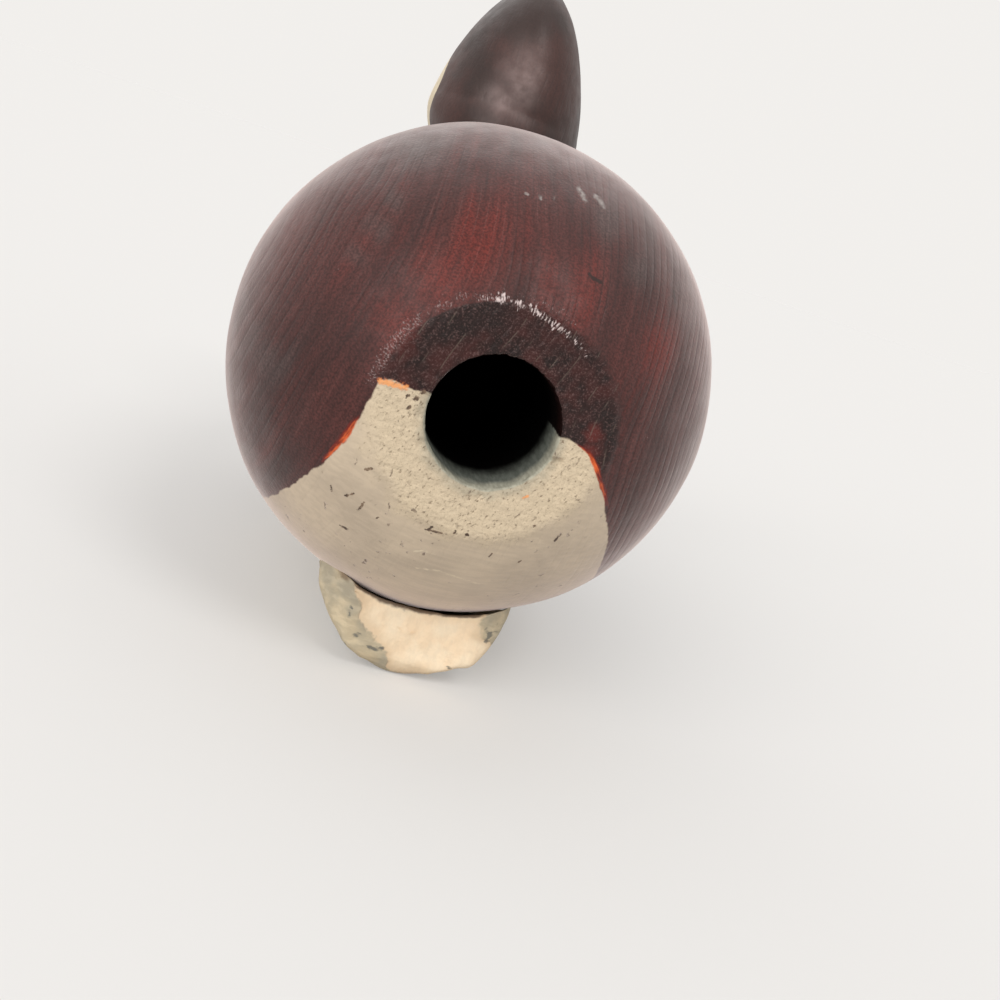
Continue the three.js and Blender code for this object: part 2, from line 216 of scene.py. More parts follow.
# Strokes on the rump, seen from behind: start right of and over the bore's axis, run, rise and width.
# Orange dabs, white scuffs on the glaze, pale scratches in the cream, brown flecks in it, and a dark hair
STROKES = {
    "dab": ((-16.6, 1.3, 3.4, 0.2, 0.85), (8.0, -8.4, -0.6, -0.5, 0.4)),
    "scuff": ((3.7, 33.9, 1.0, -1.3, 0.55), (6.5, 33.6, 1.3, -0.9, 0.6), (-4.1, 30.8, 0.2, -0.1, 0.3),
              (-2.1, 31.1, 0.1, -0.4, 0.3), (-0.1, 31.4, 0.2, -0.2, 0.25)),
    "scratch": ((-4.8, -22.1, 1.4, 0.8, 0.28), (-3.4, -21.3, 1.7, -0.2, 0.28),
                (-3.5, -25.1, 3.5, 0.8, 0.3), (0.0, -24.3, 6.6, -1.0, 0.3)),
    "mark": ((-12.7, 0.3, 0.1, 0.3, 0.5), (-11.5, 0.2, 0.3, 0.3, 0.5), (-11.8, -0.9, -0.3, -0.3, 0.42),
             (-10.9, 1.3, 0.4, 0.3, 0.45), (-18.9, -16.2, 0.4, -0.9, 0.3), (-16.5, -16.9, 0.9, 1.0, 0.35),
             (-14.2, -18.4, 0.4, 1.7, 0.32), (-15.0, -11.5, 0.8, 0.5, 0.4), (-15.7, -22.5, 1.1, -0.1, 0.35),
             (-11.4, -18.5, 0.2, 0.3, 0.3), (-4.5, -17.5, 2.3, 0.1, 0.32), (-4.0, -17.4, 0.2, 0.7, 0.35),
             (-0.5, -16.8, 0.1, 0.3, 0.38), (1.3, -16.5, 0.3, 0.1, 0.4), (14.4, -14.4, 0.2, 0.9, 0.35),
             (10.1, -12.6, 0.3, 0.2, 0.3), (5.8, -19.4, 0.3, 0.8, 0.25), (10.4, -19.7, 0.5, 0.6, 0.25)),
    "hair": ((6.7, 23.3, 0.9, -0.6, 0.3), (7.6, 22.9, 1.2, -0.3, 0.32), (21.5, 24.5, 0.6, -1.6, 0.3)),
}
# Round clouds, placed as the strokes are, with a radius: red where the glaze is thin, and grey bloom
CLOUDS = {
    "red": ((-8.0, 22.5, 7.5), (-13.5, 17.5, 6.0), (-17.5, 9.5, 5.0), (20.4, 16.5, 4.0),
            (13.9, 2.8, 2.0), (14.4, 0.2, 2.0), (5.0, 20.0, 6.0)),
    "grey": ((-22.5, 20.0, 2.6), (-21.0, 24.0, 2.2), (-24.0, 15.5, 2.0), (-19.5, 32.0, 5.0),
             (13.5, 25.5, 3.0), (-32.5, -2.5, 4.0), (8.9, 31.1, 3.5)),
}
TORN_RIM = ((8.3, -5.0, 2.6), (9.6, -2.4, 1.8))
# Oval blots, with their place across and over the foot or base, half width and half height: grey stains
# and brown glue smears on the keel's rear end, and painted highlights on the back of the head
KEEL_BLOTS = {
    "stain": ((-9.6, 9.7, 0.4, 1.4), (-7.5, 5.6, 0.8, 0.7), (-8.9, 3.2, 0.4, 0.9), (-4.6, 4.3, 1.4, 0.6),
              (-2.9, 4.8, 0.8, 0.7), (13.6, 11.6, 1.3, 0.8), (13.2, 10.2, 1.0, 0.4), (9.0, 4.2, 0.8, 0.4)),
    "smear": ((-14.2, 15.6, 1.6, 0.7), (-12.2, 14.7, 1.3, 1.0)),
}
HEAD_HIGHLIGHTS = ((-0.5, 14.5, 3.4, 5.5), (-3.0, 9.0, 4.0, 2.5))


def lattice(corner, seed):
    """A fixed random value, 0 to 1, at each whole-numbered corner."""
    mixed = corner @ np.array([374761393, 668265263, 974634777], dtype=np.int64) + seed * 144665
    mixed &= 0xFFFFFFFF
    mixed = ((mixed ^ (mixed >> 13)) * 1274126177) & 0xFFFFFFFF
    return ((mixed ^ (mixed >> 16)) & 0xFFFF) / 0xFFFF


def noise(points, size, seed=0, stretch=(1, 1, 1)):
    """Smooth noise, -1 to 1, with bumps of a size in millimetres."""
    cell = points * np.array(stretch) / size
    base = np.floor(cell).astype(np.int64)
    part = cell - base
    part = part * part * (3 - 2 * part)
    total = np.zeros(len(points))
    for corner in product((0, 1), repeat=3):
        weight = np.where(np.array(corner) == 1, part, 1 - part).prod(axis=1)
        total += weight * lattice(base + np.array(corner), seed)
    return 2 * total - 1


def soft_max(first, second, width):
    """The larger of two values, rounded over where they come within a width of each other."""
    overlap = np.maximum(0, width - np.abs(first - second))
    return np.maximum(first, second) + overlap ** 2 / (4 * width)


def smooth_step(low, high, value):
    share = np.clip((value - low) / (high - low), 0, 1)
    return share * share * (3 - 2 * share)


def between(value, start, full, fading, gone):
    """Rises smoothly from 0 at start to 1 at full, and falls again from fading to gone."""
    return smooth_step(start, full, value) * (1 - smooth_step(fading, gone, value))


def hump(value, width):
    """1 at zero, and falling off over a width to both sides."""
    return np.exp(-(value / width) ** 2)


def joined(x, y, z):
    """Points from their parts across, along and up."""
    return np.stack(np.broadcast_arrays(x, y, z), axis=-1)


def around(sides):
    """Angles in equal steps round a circle."""
    return np.linspace(0, FULL_TURN, sides, endpoint=False)


def quarter(steps):
    """Angles in equal steps over a quarter turn."""
    return np.linspace(0, QUARTER_TURN, steps)


def ring_mesh(name, points, ends=None):
    """A closed mesh through rings of points, (rings, sides, 3), and end points or the end rings' middles."""
    rings, sides, _ = points.shape
    ends = ends or [points[0].mean(axis=0), points[-1].mean(axis=0)]
    corners = np.concatenate([points.reshape(-1, 3), ends])
    index = np.arange(rings * sides).reshape(rings, sides)
    after = np.roll(index, -1, axis=1)
    quads = np.stack([index[:-1], after[:-1], after[1:], index[1:]], axis=-1).reshape(-1, 4)
    first = np.full(sides, rings * sides)
    first_fan = np.stack([first, after[0], index[0]], axis=1)
    last_fan = np.stack([first + 1, index[-1], after[-1]], axis=1)
    mesh = bpy.data.meshes.new(name)
    mesh.from_pydata((corners * MM).tolist(), [], quads.tolist() + first_fan.tolist() + last_fan.tolist())
    mesh.shade_smooth()
    return outward(mesh)


def outward(mesh):
    """Turns the faces of a closed mesh to point out."""
    shape = bmesh.new()
    shape.from_mesh(mesh)
    if shape.calc_volume(signed=True) < 0:
        bmesh.ops.reverse_faces(shape, faces=shape.faces)
    shape.to_mesh(mesh)
    shape.free()
    mesh.update()
    return mesh


def read(mesh, field):
    values = np.empty(len(mesh.vertices) * 3, dtype=np.float64)
    mesh.vertices.foreach_get(field, values)
    return values.reshape(-1, 3)


def places(mesh):
    return read(mesh, "co") / MM


def place(mesh, points):
    mesh.vertices.foreach_set("co", (points * MM).ravel())
    mesh.update()


def raise_surface(mesh, height):
    """Moves each vertex out along its normal by a height."""
    place(mesh, places(mesh) + read(mesh, "normal") * height[:, None])


def store(mesh, **marks):
    """Keeps named values at each vertex for the paint to read."""
    for name, values in marks.items():
        layer = mesh.attributes.new(name, "FLOAT", "POINT")
        layer.data.foreach_set("value", np.asarray(values, dtype=np.float32))


def link(name, data):
    """Puts an object in the scene."""
    made = bpy.data.objects.new(name, data)
    bpy.context.scene.collection.objects.link(made)
    return made


def add_piece(mesh, material, body, slot, *nodes):
    """Puts a mesh in the scene in place of CAD nodes, riding on their body."""
    piece = link(mesh.name, mesh)
    mesh.materials.append(material)
    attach(piece, body)
    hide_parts(*nodes)


class Value:
    """What a node gives, so that sums of it make nodes too."""

    def __init__(self, nodes, socket):
        self.nodes = nodes
        self.socket = socket

    def __add__(self, other):
        return self.nodes.math("ADD", self, other)

    def __sub__(self, other):
        return self.nodes.math("SUBTRACT", self, other)

    def __mul__(self, other):
        return self.nodes.math("MULTIPLY", self, other)

    def off_whole(self):
        """How far it is from the nearest whole number."""
        return self.nodes.math("PINGPONG", self, 0.5)

    def fade(self, low, high, start=0.0, end=1.0):
        """Goes smoothly from start to end as this goes from low to high."""
        inputs = {"Value": self, "From Min": low, "From Max": high, "To Min": start, "To Max": end}
        return self.nodes.node("MapRange", inputs, interpolation_type="SMOOTHSTEP")


def linear(colour):
    """A linear colour from screen values, 0 to 255. What a node gives is linear already."""
    if isinstance(colour, Value):
        return colour
    shares = np.array(colour) / 255
    parts = np.where(shares <= 0.04045, shares / 12.92, ((shares + 0.055) / 1.055) ** 2.4)
    return (*parts.tolist(), 1.0)


class Nodes:
    """A tree of nodes, with a short call to add one."""

    def __init__(self, tree):
        self.tree = tree

    def feed(self, socket, value):
        if isinstance(value, Value):
            self.tree.links.new(value.socket, socket)
        else:
            socket.default_value = value

    def node(self, kind, inputs, output=0, **settings):
        made = self.tree.nodes.new("ShaderNode" + kind)
        for key, value in settings.items():
            setattr(made, key, value)
        for key, value in inputs.items():
            self.feed(made.inputs[key], value)
        return Value(self, made.outputs[output])

    def math(self, operation, first, second):
        return self.node("Math", {0: first, 1: second}, operation=operation)

    def seen(self):
        """1 for what the camera sees straight, in a reflection or through glass, and 0 for other light."""
        found = self.node("LightPath", {}, "Is Camera Ray")
        for ray in ("Is Glossy Ray", "Is Transmission Ray"):
            found = self.math("MAXIMUM", found, self.node("LightPath", {}, ray))
        return found


class Paint(Nodes):
    """A procedural material, with a short call for each kind of pattern that it is made of."""

    def __init__(self, name, **settings):
        self.material = bpy.data.materials.new(name)
        self.material.use_nodes = True
        super().__init__(self.material.node_tree)
        self.shader = self.tree.nodes["Principled BSDF"]
        self.place = self.node("TexCoord", {}, "Object")
        for socket, value in settings.items():
            self.set(socket.replace("_", " "), value)

    def set(self, socket, value):
        self.feed(self.shader.inputs[socket], value)

    def mark(self, name):
        """A value that is kept at each vertex."""
        return self.node("Attribute", {}, "Fac", attribute_name=name)

    def part(self, axis):
        """One part of the place: 0 across, 1 along or 2 up."""
        return self.node("SeparateXYZ", {0: self.place}, axis)

    def point(self, across, along, up):
        return self.node("CombineXYZ", {0: across, 1: along, 2: up})

    def turned(self, angle):
        """The place, turned about Y."""
        return self.node("VectorRotate", {"Vector": self.place, "Angle": angle}, rotation_type="Y_AXIS")

    def noise(self, size, detail, seed, stretch=(1, 1, 1), place=None):
        """Noise, about 0.3 to 0.7, with bumps of a size in millimetres."""
        scale = tuple(share / (size * MM) for share in stretch)
        scaled = self.node("VectorMath", {0: place or self.place, 1: scale}, operation="MULTIPLY")
        inputs = {"Vector": scaled, "W": seed, "Scale": 1.0, "Detail": detail}
        return self.node("TexNoise", inputs, "Fac", noise_dimensions="4D")

    def swing(self, amount, *noise_settings):
        """Noise about zero, times an amount."""
        return (self.noise(*noise_settings) - 0.5) * amount

    def mix(self, share, under, over, blend="MIX"):
        """A colour laid over another by a share, 0 to 1."""
        inputs = {0: share, 6: linear(under), 7: linear(over)}
        return self.node("Mix", inputs, 2, data_type="RGBA", blend_type=blend)

    def shade(self, under, value):
        """A colour made darker or lighter by multiplying it."""
        grey = self.node("CombineColor", {0: value, 1: value, 2: value})
        return self.mix(1.0, under, grey, "MULTIPLY")

    def finish(self, base, roughness, height=None):
        """Sets the colour, the roughness and a fine relief in millimetres, and returns the material."""
        self.set("Base Color", base)
        self.set("Roughness", roughness)
        if height:
            inputs = {"Strength": 1.0, "Distance": MM, "Height": height}
            self.set("Normal", self.node("Bump", inputs))
        return self.material


def middle_z(y):
    """Height of the body's middle line."""
    return AXIS_Z - BREAST_DROOP * np.clip((y - RUMP_Y) / BREAST_LENGTH, 0, 1) ** 2


def section_radius(y):
    """Radius of the body's round section."""
    behind = np.sqrt(np.clip(BODY_RADIUS ** 2 - (y - RUMP_Y) ** 2, 0, None))
    share = np.clip((y - RUMP_Y) / BREAST_LENGTH, 0, 1)
    ahead = BODY_RADIUS * (1 - share ** BREAST_FULLNESS) ** (1 / BREAST_FULLNESS)
    return np.where(y < RUMP_Y, behind, ahead)


def body_profile():
    """Radius and place along Y of each ring, from the middle of the bore's floor round to the breast."""
    rings = [(BORE_RADIUS * share, SEAT_Y + BORE_DEPTH) for share in BORE_FLOOR_SHARES]
    for share in np.linspace(1, 0, BORE_RINGS):
        rings.append((BORE_RADIUS, SEAT_Y + BORE_EDGE + (BORE_DEPTH - BORE_EDGE) * share ** 2))
    for angle in quarter(BORE_EDGE_RINGS)[1:]:
        rings.append((BORE_RADIUS + BORE_EDGE * (1 - math.cos(angle)),
                      SEAT_Y + BORE_EDGE * (1 - math.sin(angle))))
    for radius in np.arange(BORE_RADIUS + BORE_EDGE + RIDGE_STEP, RIDGE_END, RIDGE_STEP):
        ball = RUMP_Y - math.sqrt(BODY_RADIUS ** 2 - radius ** 2)
        rings.append((radius, soft_max(SEAT_Y, ball, RIDGE_ROUNDING)))
    for angle in np.linspace(math.asin(RIDGE_END / BODY_RADIUS), QUARTER_TURN, RUMP_RINGS):
        rings.append((BODY_RADIUS * math.sin(angle), RUMP_Y - BODY_RADIUS * math.cos(angle)))
    shares = np.unique(np.concatenate([np.linspace(*stretch) for stretch in BREAST_STRETCHES]))
    for y in RUMP_Y + BREAST_LENGTH * np.sin(shares[1:-1] * QUARTER_TURN):
        rings.append((section_radius(y), y))
    return np.array(rings)


def collar_height(away):
    """Height of the neck shelf and of the flare round it, at a distance from the dowel."""
    out = np.clip((away - SHELF_RADIUS) / COLLAR_FLARE, 0, None)
    past = np.maximum(0, out - 1)
    flare = (np.sqrt(np.minimum(out, 1) + FLARE_SOFTNESS) - FLARE_START) / FLARE_SPAN
    return SHELF_Z - COLLAR_HEIGHT * (flare + 0.5 * past + past ** 2)


def with_neck_shelf(rings):
    """Raises the back smoothly to a level neck shelf, and wears the shelf's rim round."""
    x, y, z = np.moveaxis(rings, -1, 0)
    away = np.hypot(x, y - NECK_Y)
    raised = soft_max(z, collar_height(away), COLLAR_BLEND)
    raised = np.where(away <= SHELF_RADIUS, np.minimum(raised, SHELF_Z), raised)
    height = np.where(z > middle_z(y), raised, z)
    near_rim = hump(away - SHELF_RADIUS, RIM_WEAR) * (height > AXIS_Z)
    for axis in (0, 1) * RIM_PASSES:
        even = (np.roll(height, 1, axis) + np.roll(height, -1, axis)) / 2
        height = height + 0.5 * near_rim * (even - height)
    return joined(x, y, height)


def ring_count(points):
    """Which growth ring each point lies in, counted across the wood."""
    x, y, z = points.T
    right = (x - SWIRL_PLACE[0]) / SWIRL_REACH[0]
    up = z - middle_z(y) - SWIRL_PLACE[1]
    swirl = SWIRL_LEAN * up * np.exp(-right ** 2 - (up / SWIRL_REACH[1]) ** 2)
    lean = LEFT_LEAN * up * (1 - smooth_step(-26, 2, x))
    bend = 0.8 * noise(points, 13, 1, (1, 0.5, 1)) + 0.2 * noise(points, 4.5, 2, (1, 0.6, 0.6))
    return (x - swirl - lean + bend) / RING_SPACING + 0.8 * noise(points, 24, 3)


def cream_depth(points):
    """How far inside the cream patch each point lies."""
    x, y, z = points.T
    below = middle_z(y) - z
    half_width, spread, curve, outer_spread = np.where(points[:, :1] < 0, CREAM_LEFT, CREAM_RIGHT).T
    half_width = half_width * (1 - smooth_step(CREAM_NARROWS_Y, CREAM_FRONT_Y, y))
    curved = np.minimum(below, CREAM_CURVE_END)
    wider = spread * curved + curve * curved ** 2 + outer_spread * (below - curved)
    side = 0.9 * (half_width + wider - np.abs(x))
    top = below + CREAM_TOP - CREAM_TILT * x
    return np.minimum(-soft_max(-top, -side, CREAM_CORNER), (CREAM_FRONT_Y - y) * 0.6)


def undercoat(points):
    """Where the undercoat shows in strokes beside the cream patch, thickest against the cream."""
    x, y, z = points.T
    below = middle_z(y) - z
    edge = smooth_step(-1.7, -0.2, cream_depth(points))
    strokes = np.where(x < 0, between(below, 2, 6, 11.5, 15), between(below, -2, 0, 5, 10))
    return edge * strokes * (y < RUMP_Y - 10)


def round_bore(points):
    """Distance from the bore's axis, and the angle round it in degrees, from straight up to the right."""
    x, _, z = points.T
    return np.hypot(x, z - AXIS_Z), np.degrees(np.arctan2(x, z - AXIS_Z))


def bore_depth(points):
    """How deep in the tail bore each point lies, 0 outside it."""
    away, _ = round_bore(points)
    inside = (away < BORE_RADIUS + BORE_EDGE) & (points[:, 1] < SEAT_Y + BORE_DEPTH + 1)
    return np.where(inside, points[:, 1] - SEAT_Y, 0)


def blots(points, *blots_seen):
    """Soft oval blots, seen from behind."""
    x, _, z = points.T
    found = np.zeros(len(points))
    for across, up, wide, high in blots_seen:
        found = np.maximum(found, np.exp(-((x - across) / wide) ** 2 - ((z - up) / high) ** 2))
    return found


def spots(points, *spots_seen):
    """Soft round spots on the rump."""
    behind = 1 - smooth_step(RUMP_Y - 15, RUMP_Y + 5, points[:, 1])
    ovals = [(across, up, radius, radius) for across, up, radius in spots_seen]
    return behind * blots(points - (0, 0, AXIS_Z), *ovals)


def dashes(points, *strokes):
    """Short soft strokes on the rump."""
    x, y, z = points.T
    found = np.zeros(len(points))
    for across, up, run, rise, width in strokes:
        start = np.stack([x - across, z - AXIS_Z - up], axis=1)
        way = np.array([run, rise])
        share = np.clip(start @ way / (way @ way), 0, 1)
        away = np.linalg.norm(start - share[:, None] * way, axis=1)
        found = np.maximum(found, hump(away, width))
    return found * (y < RUMP_Y)


def seat_marks(points):
    """Painted highlight strokes and specks on the polished ridge at the seat's edge, and dark stain on the
    seat round the bore.
    """
    away, turn = round_bore(points)
    rump = points[:, 1] < RUMP_Y
    # The painted highlight lies on the polished ridge over the bore, and drifts onto the seat towards the
    # right
    drift = SEAT_RADIUS + 0.5 - 1.4 * smooth_step(-20, 20, turn)
    painted_glint = between(turn, -34, -16, 28, 44) * hump(away - drift, 0.9)
    # Painted highlight specks lie down the ridge's left, and thinly round the painted highlight
    left = between(turn, -95, -84, -22, -6) * (1 - 0.3 * smooth_step(-60, -40, turn))
    over = 0.6 * between(turn, -40, -15, 20, 45)
    glint_specks = hump(away - SEAT_RADIUS - 1.0, 1.2) * np.maximum(left, over)
    # The stain reaches the ridge and thins past it on the right; the seat is also painted darker on its
    # upper left and right
    reach = 0.6 + 3.2 * smooth_step(10, 65, turn)
    stain = 1 - smooth_step(-0.4, 1, (away - SEAT_RADIUS) / reach)
    upper = between(turn, -72, -52, -20, 10) * smooth_step(11.5, 14.5, away)
    crescent = np.maximum(upper, 0.8 * between(turn, 50, 75, 95, 110))
    marks = {"painted_glint": painted_glint, "glint_specks": glint_specks, "stain": stain, "crescent": crescent}
    marks = {name: values * rump for name, values in marks.items()}
    marks["seat"] = np.where(rump, SEAT_RADIUS - away, -20)
    marks["arc"] = np.radians(turn) * SEAT_RADIUS
    return marks


def body_marks(points):
    """What the body's paint goes by at each point."""
    marks = {"rings": ring_count(points), "cream": cream_depth(points), "bore": bore_depth(points),
             "undercoat": undercoat(points), **seat_marks(points)}
    for name, strokes in STROKES.items():
        marks[name] = dashes(points, *strokes)
    for name, clouds in CLOUDS.items():
        marks[name] = spots(points, *clouds)
    return marks


def body_relief(points):
    """Ring grain, tool marks and worn edges of the carved body."""
    x, y, z = points.T
    away, _ = round_bore(points)
    depth = bore_depth(points)
    rump = y < RUMP_Y
    painted = smooth_step(-0.3, 0.3, cream_depth(points))
    unpainted = 1 - painted
    on_seat = (1 - smooth_step(-0.4, 0.4, away - SEAT_RADIUS)) * rump
    groove = (0.5 + 0.5 * np.cos(FULL_TURN * ring_count(points))) ** 4
    groove *= 1 - 0.6 * smooth_step(-62, -36, y)
    groove *= (0.017 + 0.017 * noise(points, 11, 4)) * (1 - 0.7 * painted) * (1 + 2.0 * on_seat * unpainted)
    height = 0.2 * noise(points, 15, 5) + 0.08 * noise(points, 6, 6) - groove
    ridge = hump(away - SEAT_RADIUS, 1.0) * rump
    height += ridge * unpainted * (0.14 * noise(points, 1.1, 7) + 0.1 * noise(points, 2.6, 8))
    height += on_seat * painted * 0.07 * noise(points, 0.9, 9)
    rim = hump(away - BORE_RADIUS - BORE_EDGE, 0.9) * (depth < 3) * rump
    chips = 0.12 * noise(points, 1.0, 10) - 0.25 * smooth_step(0.2, 0.5, noise(points, 1.7, 11))
    height += rim * chips * (1 + 2.0 * spots(points, *TORN_RIM))
    from_neck = np.hypot(x, y - NECK_Y)
    calm = smooth_step(SHELF_RADIUS, SHELF_RADIUS + COLLAR_FLARE, from_neck)
    height *= np.where(z > AXIS_Z, calm, 1)
    return np.where(depth > 6, 0, height)


def make_body():
    radius, along = np.split(body_profile(), 2, axis=1)
    turn = around(BODY_SIDES)
    rings = joined(radius * np.sin(turn), along, middle_z(along) + radius * np.cos(turn))
    mesh = ring_mesh("decoy_body", with_neck_shelf(rings))
    points = places(mesh)
    raise_surface(mesh, body_relief(points))
    store(mesh, **body_marks(points))
    add_piece(mesh, body_paint(), "body", "body_paint", "body")
    # The bore's deeper faces get the material with painted shade
    mesh.materials.append(bore_wood_and_shade())
    deep = bore_depth(points) > BORE_SKIN
    in_bore = [all(deep[corner] for corner in face.vertices) for face in mesh.polygons]
    mesh.polygons.foreach_set("material_index", np.array(in_bore, dtype=np.int32))


def glaze(paint, rings, grain):
    """Brown glaze, wiped along the grain: dark and red streaks, grey bloom, ring lines and fine speckle."""
    def streaks(fine, fine_size, broad, broad_size, seed):
        fine_streaks = paint.swing(fine, fine_size, 3, seed, LONG_STREAK, grain)
        return fine_streaks + paint.swing(broad, broad_size, 2, seed + 1, SHORT_STREAK, grain)

    depth = streaks(1.3, 2.4, 0.6, 9, 1)
    brown = paint.mix(depth.fade(-0.35, 0.35), (46, 25, 24), (76, 39, 36))
    reds = paint.mark("red") * 0.6 + streaks(1.5, 2.6, 0.8, 9, 3)
    brown = paint.mix(reds.fade(0, 1, 0, 0.76), brown, (104, 35, 28))
    greys = paint.mark("grey") * 0.75 + streaks(1.3, 2.2, 0.6, 8, 5)
    brown = paint.mix(greys.fade(0.1, 1, 0, 0.75), brown, (70, 60, 58))
    uneven = rings + paint.swing(0.7, 2.4, 2, 7, LONG_STREAK, grain)
    near_tail = paint.part(1).fade(-0.062, -0.036, 1, 0.45)
    broken = paint.noise(4, 2, 8, SHORT_STREAK, grain).fade(0.36, 0.64, 0.05, 0.42)
    line = uneven.off_whole().fade(0, 0.22, 1, 0) * broken * near_tail
    brown = paint.mix(line, brown, (32, 17, 17))
    broken = paint.noise(4, 3, 9, SHORT_STREAK, grain).fade(0.45, 0.68, 0, 0.12)
    pale = (uneven + 0.4).off_whole().fade(0, 0.12, 1, 0) * broken * near_tail
    brown = paint.mix(pale, brown, (132, 102, 97))
    return paint.shade(brown, paint.noise(0.34, 3, 10).fade(0.32, 0.68, 0.58, 1.42)), line


def seat_stain(paint, rings):
    """Dark, flecked end grain of the seat, redder in places, with pale saw lines along the rings."""
    stain = paint.mix(paint.noise(1.3, 3, 11).fade(0.4, 0.62), (20, 10, 10), (40, 20, 19))
    stain = paint.mix(paint.noise(4.5, 2, 16).fade(0.42, 0.62, 0, 0.75), stain, (62, 28, 26))
    # Darker crescent on the seat's upper left and right
    dark = paint.mark("crescent") + paint.swing(1, 1.6, 3, 39)
    stain = paint.mix(dark.fade(0.2, 1, 0, 0.85), stain, (22, 15, 15))
    blush = paint.mark("red") + paint.swing(0.8, 0.9, 3, 20)
    stain = paint.mix(blush.fade(0.35, 1.05, 0, 0.75), stain, (94, 36, 32))
    saw = (rings * 0.5).off_whole().fade(0, 0.06, 1, 0)
    saw = saw * paint.noise(2.5, 3, 14).fade(0.45, 0.62, 0, 0.55)
    stain = paint.mix(saw, stain, (104, 92, 82))
    return paint.mix(paint.noise(0.26, 3, 12).fade(0.5, 0.7, 0, 0.5), stain, (112, 86, 82))


def painted_ridge_highlights(paint, seat):
    """Painted highlights: short bright strokes across the polished ridge, in uneven clusters, and pale
    highlight specks beside them.
    """
    round_ridge = paint.point(paint.mark("arc") * MM, seat * MM, 0.0)
    painted_glint = paint.mark("painted_glint") + paint.swing(2.2, 1.2, 2, 17, (1, 0.5, 1), round_ridge)
    strokes = paint.noise(0.27, 2, 15, (1, 0.4, 1), round_ridge) + painted_glint.fade(0.2, 1.1, -0.25, 0.09)
    thick = paint.mark("glint_specks") + paint.swing(1.6, 1.2, 2, 18)
    glint_specks = paint.noise(0.24, 2, 19, (1, 0.7, 1), round_ridge) + thick.fade(0, 1, -0.25, 0.06)
    return paint.math("MAXIMUM", strokes.fade(0.5, 0.7), glint_specks.fade(0.52, 0.72, 0, 0.28))


def cream_coat(paint, seat):
    """Cream paint: smooth and a little grey below, chalky with fine pits and strokes round the bore, with
    painted shade greying it at the bore's lip.
    """
    cream = paint.mix(paint.noise(9, 2, 21).fade(0.35, 0.65), (192, 175, 153), (204, 186, 162))
    chalky = (seat + paint.swing(6, 3.5, 3, 40)).fade(-3.5, 1.5)
    cream = paint.mix(chalky * 0.75, cream, (214, 195, 165))
    # Painted shade: greyer cream at the bore's lip
    rim = (seat + paint.swing(3, 2.2, 3, 41)).fade(5.2, 7, 0, 0.6)
    cream = paint.mix(rim, cream, (158, 152, 134))
    strokes = paint.noise(0.42, 4, 34, (1, 1, 0.55), paint.turned(BRUSH_TURN))
    strokes = strokes.fade(0.56, 0.72, 0, 0.8) * chalky
    cream = paint.mix(strokes, cream, (116, 96, 74))
    chalk = paint.noise(0.22, 3, 22).fade(0.5, 0.72, 0, 0.4) * chalky
    cream = paint.mix(chalk, cream, (150, 130, 104))
    pits = paint.noise(0.9, 3, 23, (1, 1, 0.55)).fade(0.64, 0.7) * paint.noise(6, 2, 24).fade(0.46, 0.6)
    cream = paint.mix(pits * 0.7, cream, (98, 80, 66))
    brushed = paint.noise(0.8, 2, 25, (0.08, 1, 1)).fade(0.35, 0.65, 0.95, 1.04)
    return paint.shade(cream, brushed), paint.math("MAXIMUM", pits, strokes)


def cream_share(paint):
    """How much of a place the cream covers, with a ragged edge."""
    ragged = paint.swing(1.1, 3.2, 2, 26) + paint.swing(0.5, 0.9, 3, 35)
    return (paint.mark("cream") + ragged).fade(-0.15, 0.15)


def flames(paint, surface):
    """Orange undercoat in brush strokes along the cream's edge, dark red where it is thin."""
    along_edge = paint.point(paint.mark("cream") * MM, 0.0, paint.part(2))
    strokes = paint.swing(1.8, 0.4, 3, 27, (1, 1, 0.2), along_edge) + paint.swing(0.9, 2, 2, 43)
    thick = paint.mark("undercoat") * 1.6 + strokes - 0.6
    red = paint.mix(thick.fade(0.2, 0.75, 0, 0.9), surface, (112, 30, 21))
    return paint.mix(thick.fade(0.65, 1.25), red, (216, 96, 46))


def with_small_marks(paint, surface):
    """Adds the pale scratches, orange dabs, white scuffs, brown flecks and the dark hair."""
    scratch = paint.mark("scratch") + paint.swing(1.2, 0.7, 2, 42)
    surface = paint.mix(scratch.fade(0.6, 1.1, 0, 0.7), surface, (226, 211, 183))
    dab = paint.mark("dab") * 1.8 + paint.swing(2.6, 0.5, 4, 28) - 0.7
    orange = paint.mix(dab.fade(0.4, 1), (190, 78, 44), (238, 158, 94))
    surface = paint.mix(dab.fade(0.35, 1.1, 0, 0.85), surface, orange)
    scuff = paint.mark("scuff") * 1.3 + paint.swing(2.2, 0.9, 3, 29) - 0.3
    surface = paint.mix(scuff.fade(0.15, 1.4, 0, 0.65), surface, (178, 174, 168))
    mark = paint.mark("mark") * 1.2 + paint.swing(1.5, 0.45, 3, 30) - 0.2
    fleck = paint.mix(paint.noise(1.6, 2, 36).fade(0.42, 0.6), (64, 48, 40), (122, 100, 80))
    surface = paint.mix(mark.fade(0.5, 0.85, 0, 0.95), surface, fleck)
    return paint.mix(paint.mark("hair").fade(0.4, 0.8, 0, 0.9), surface, (26, 16, 15))


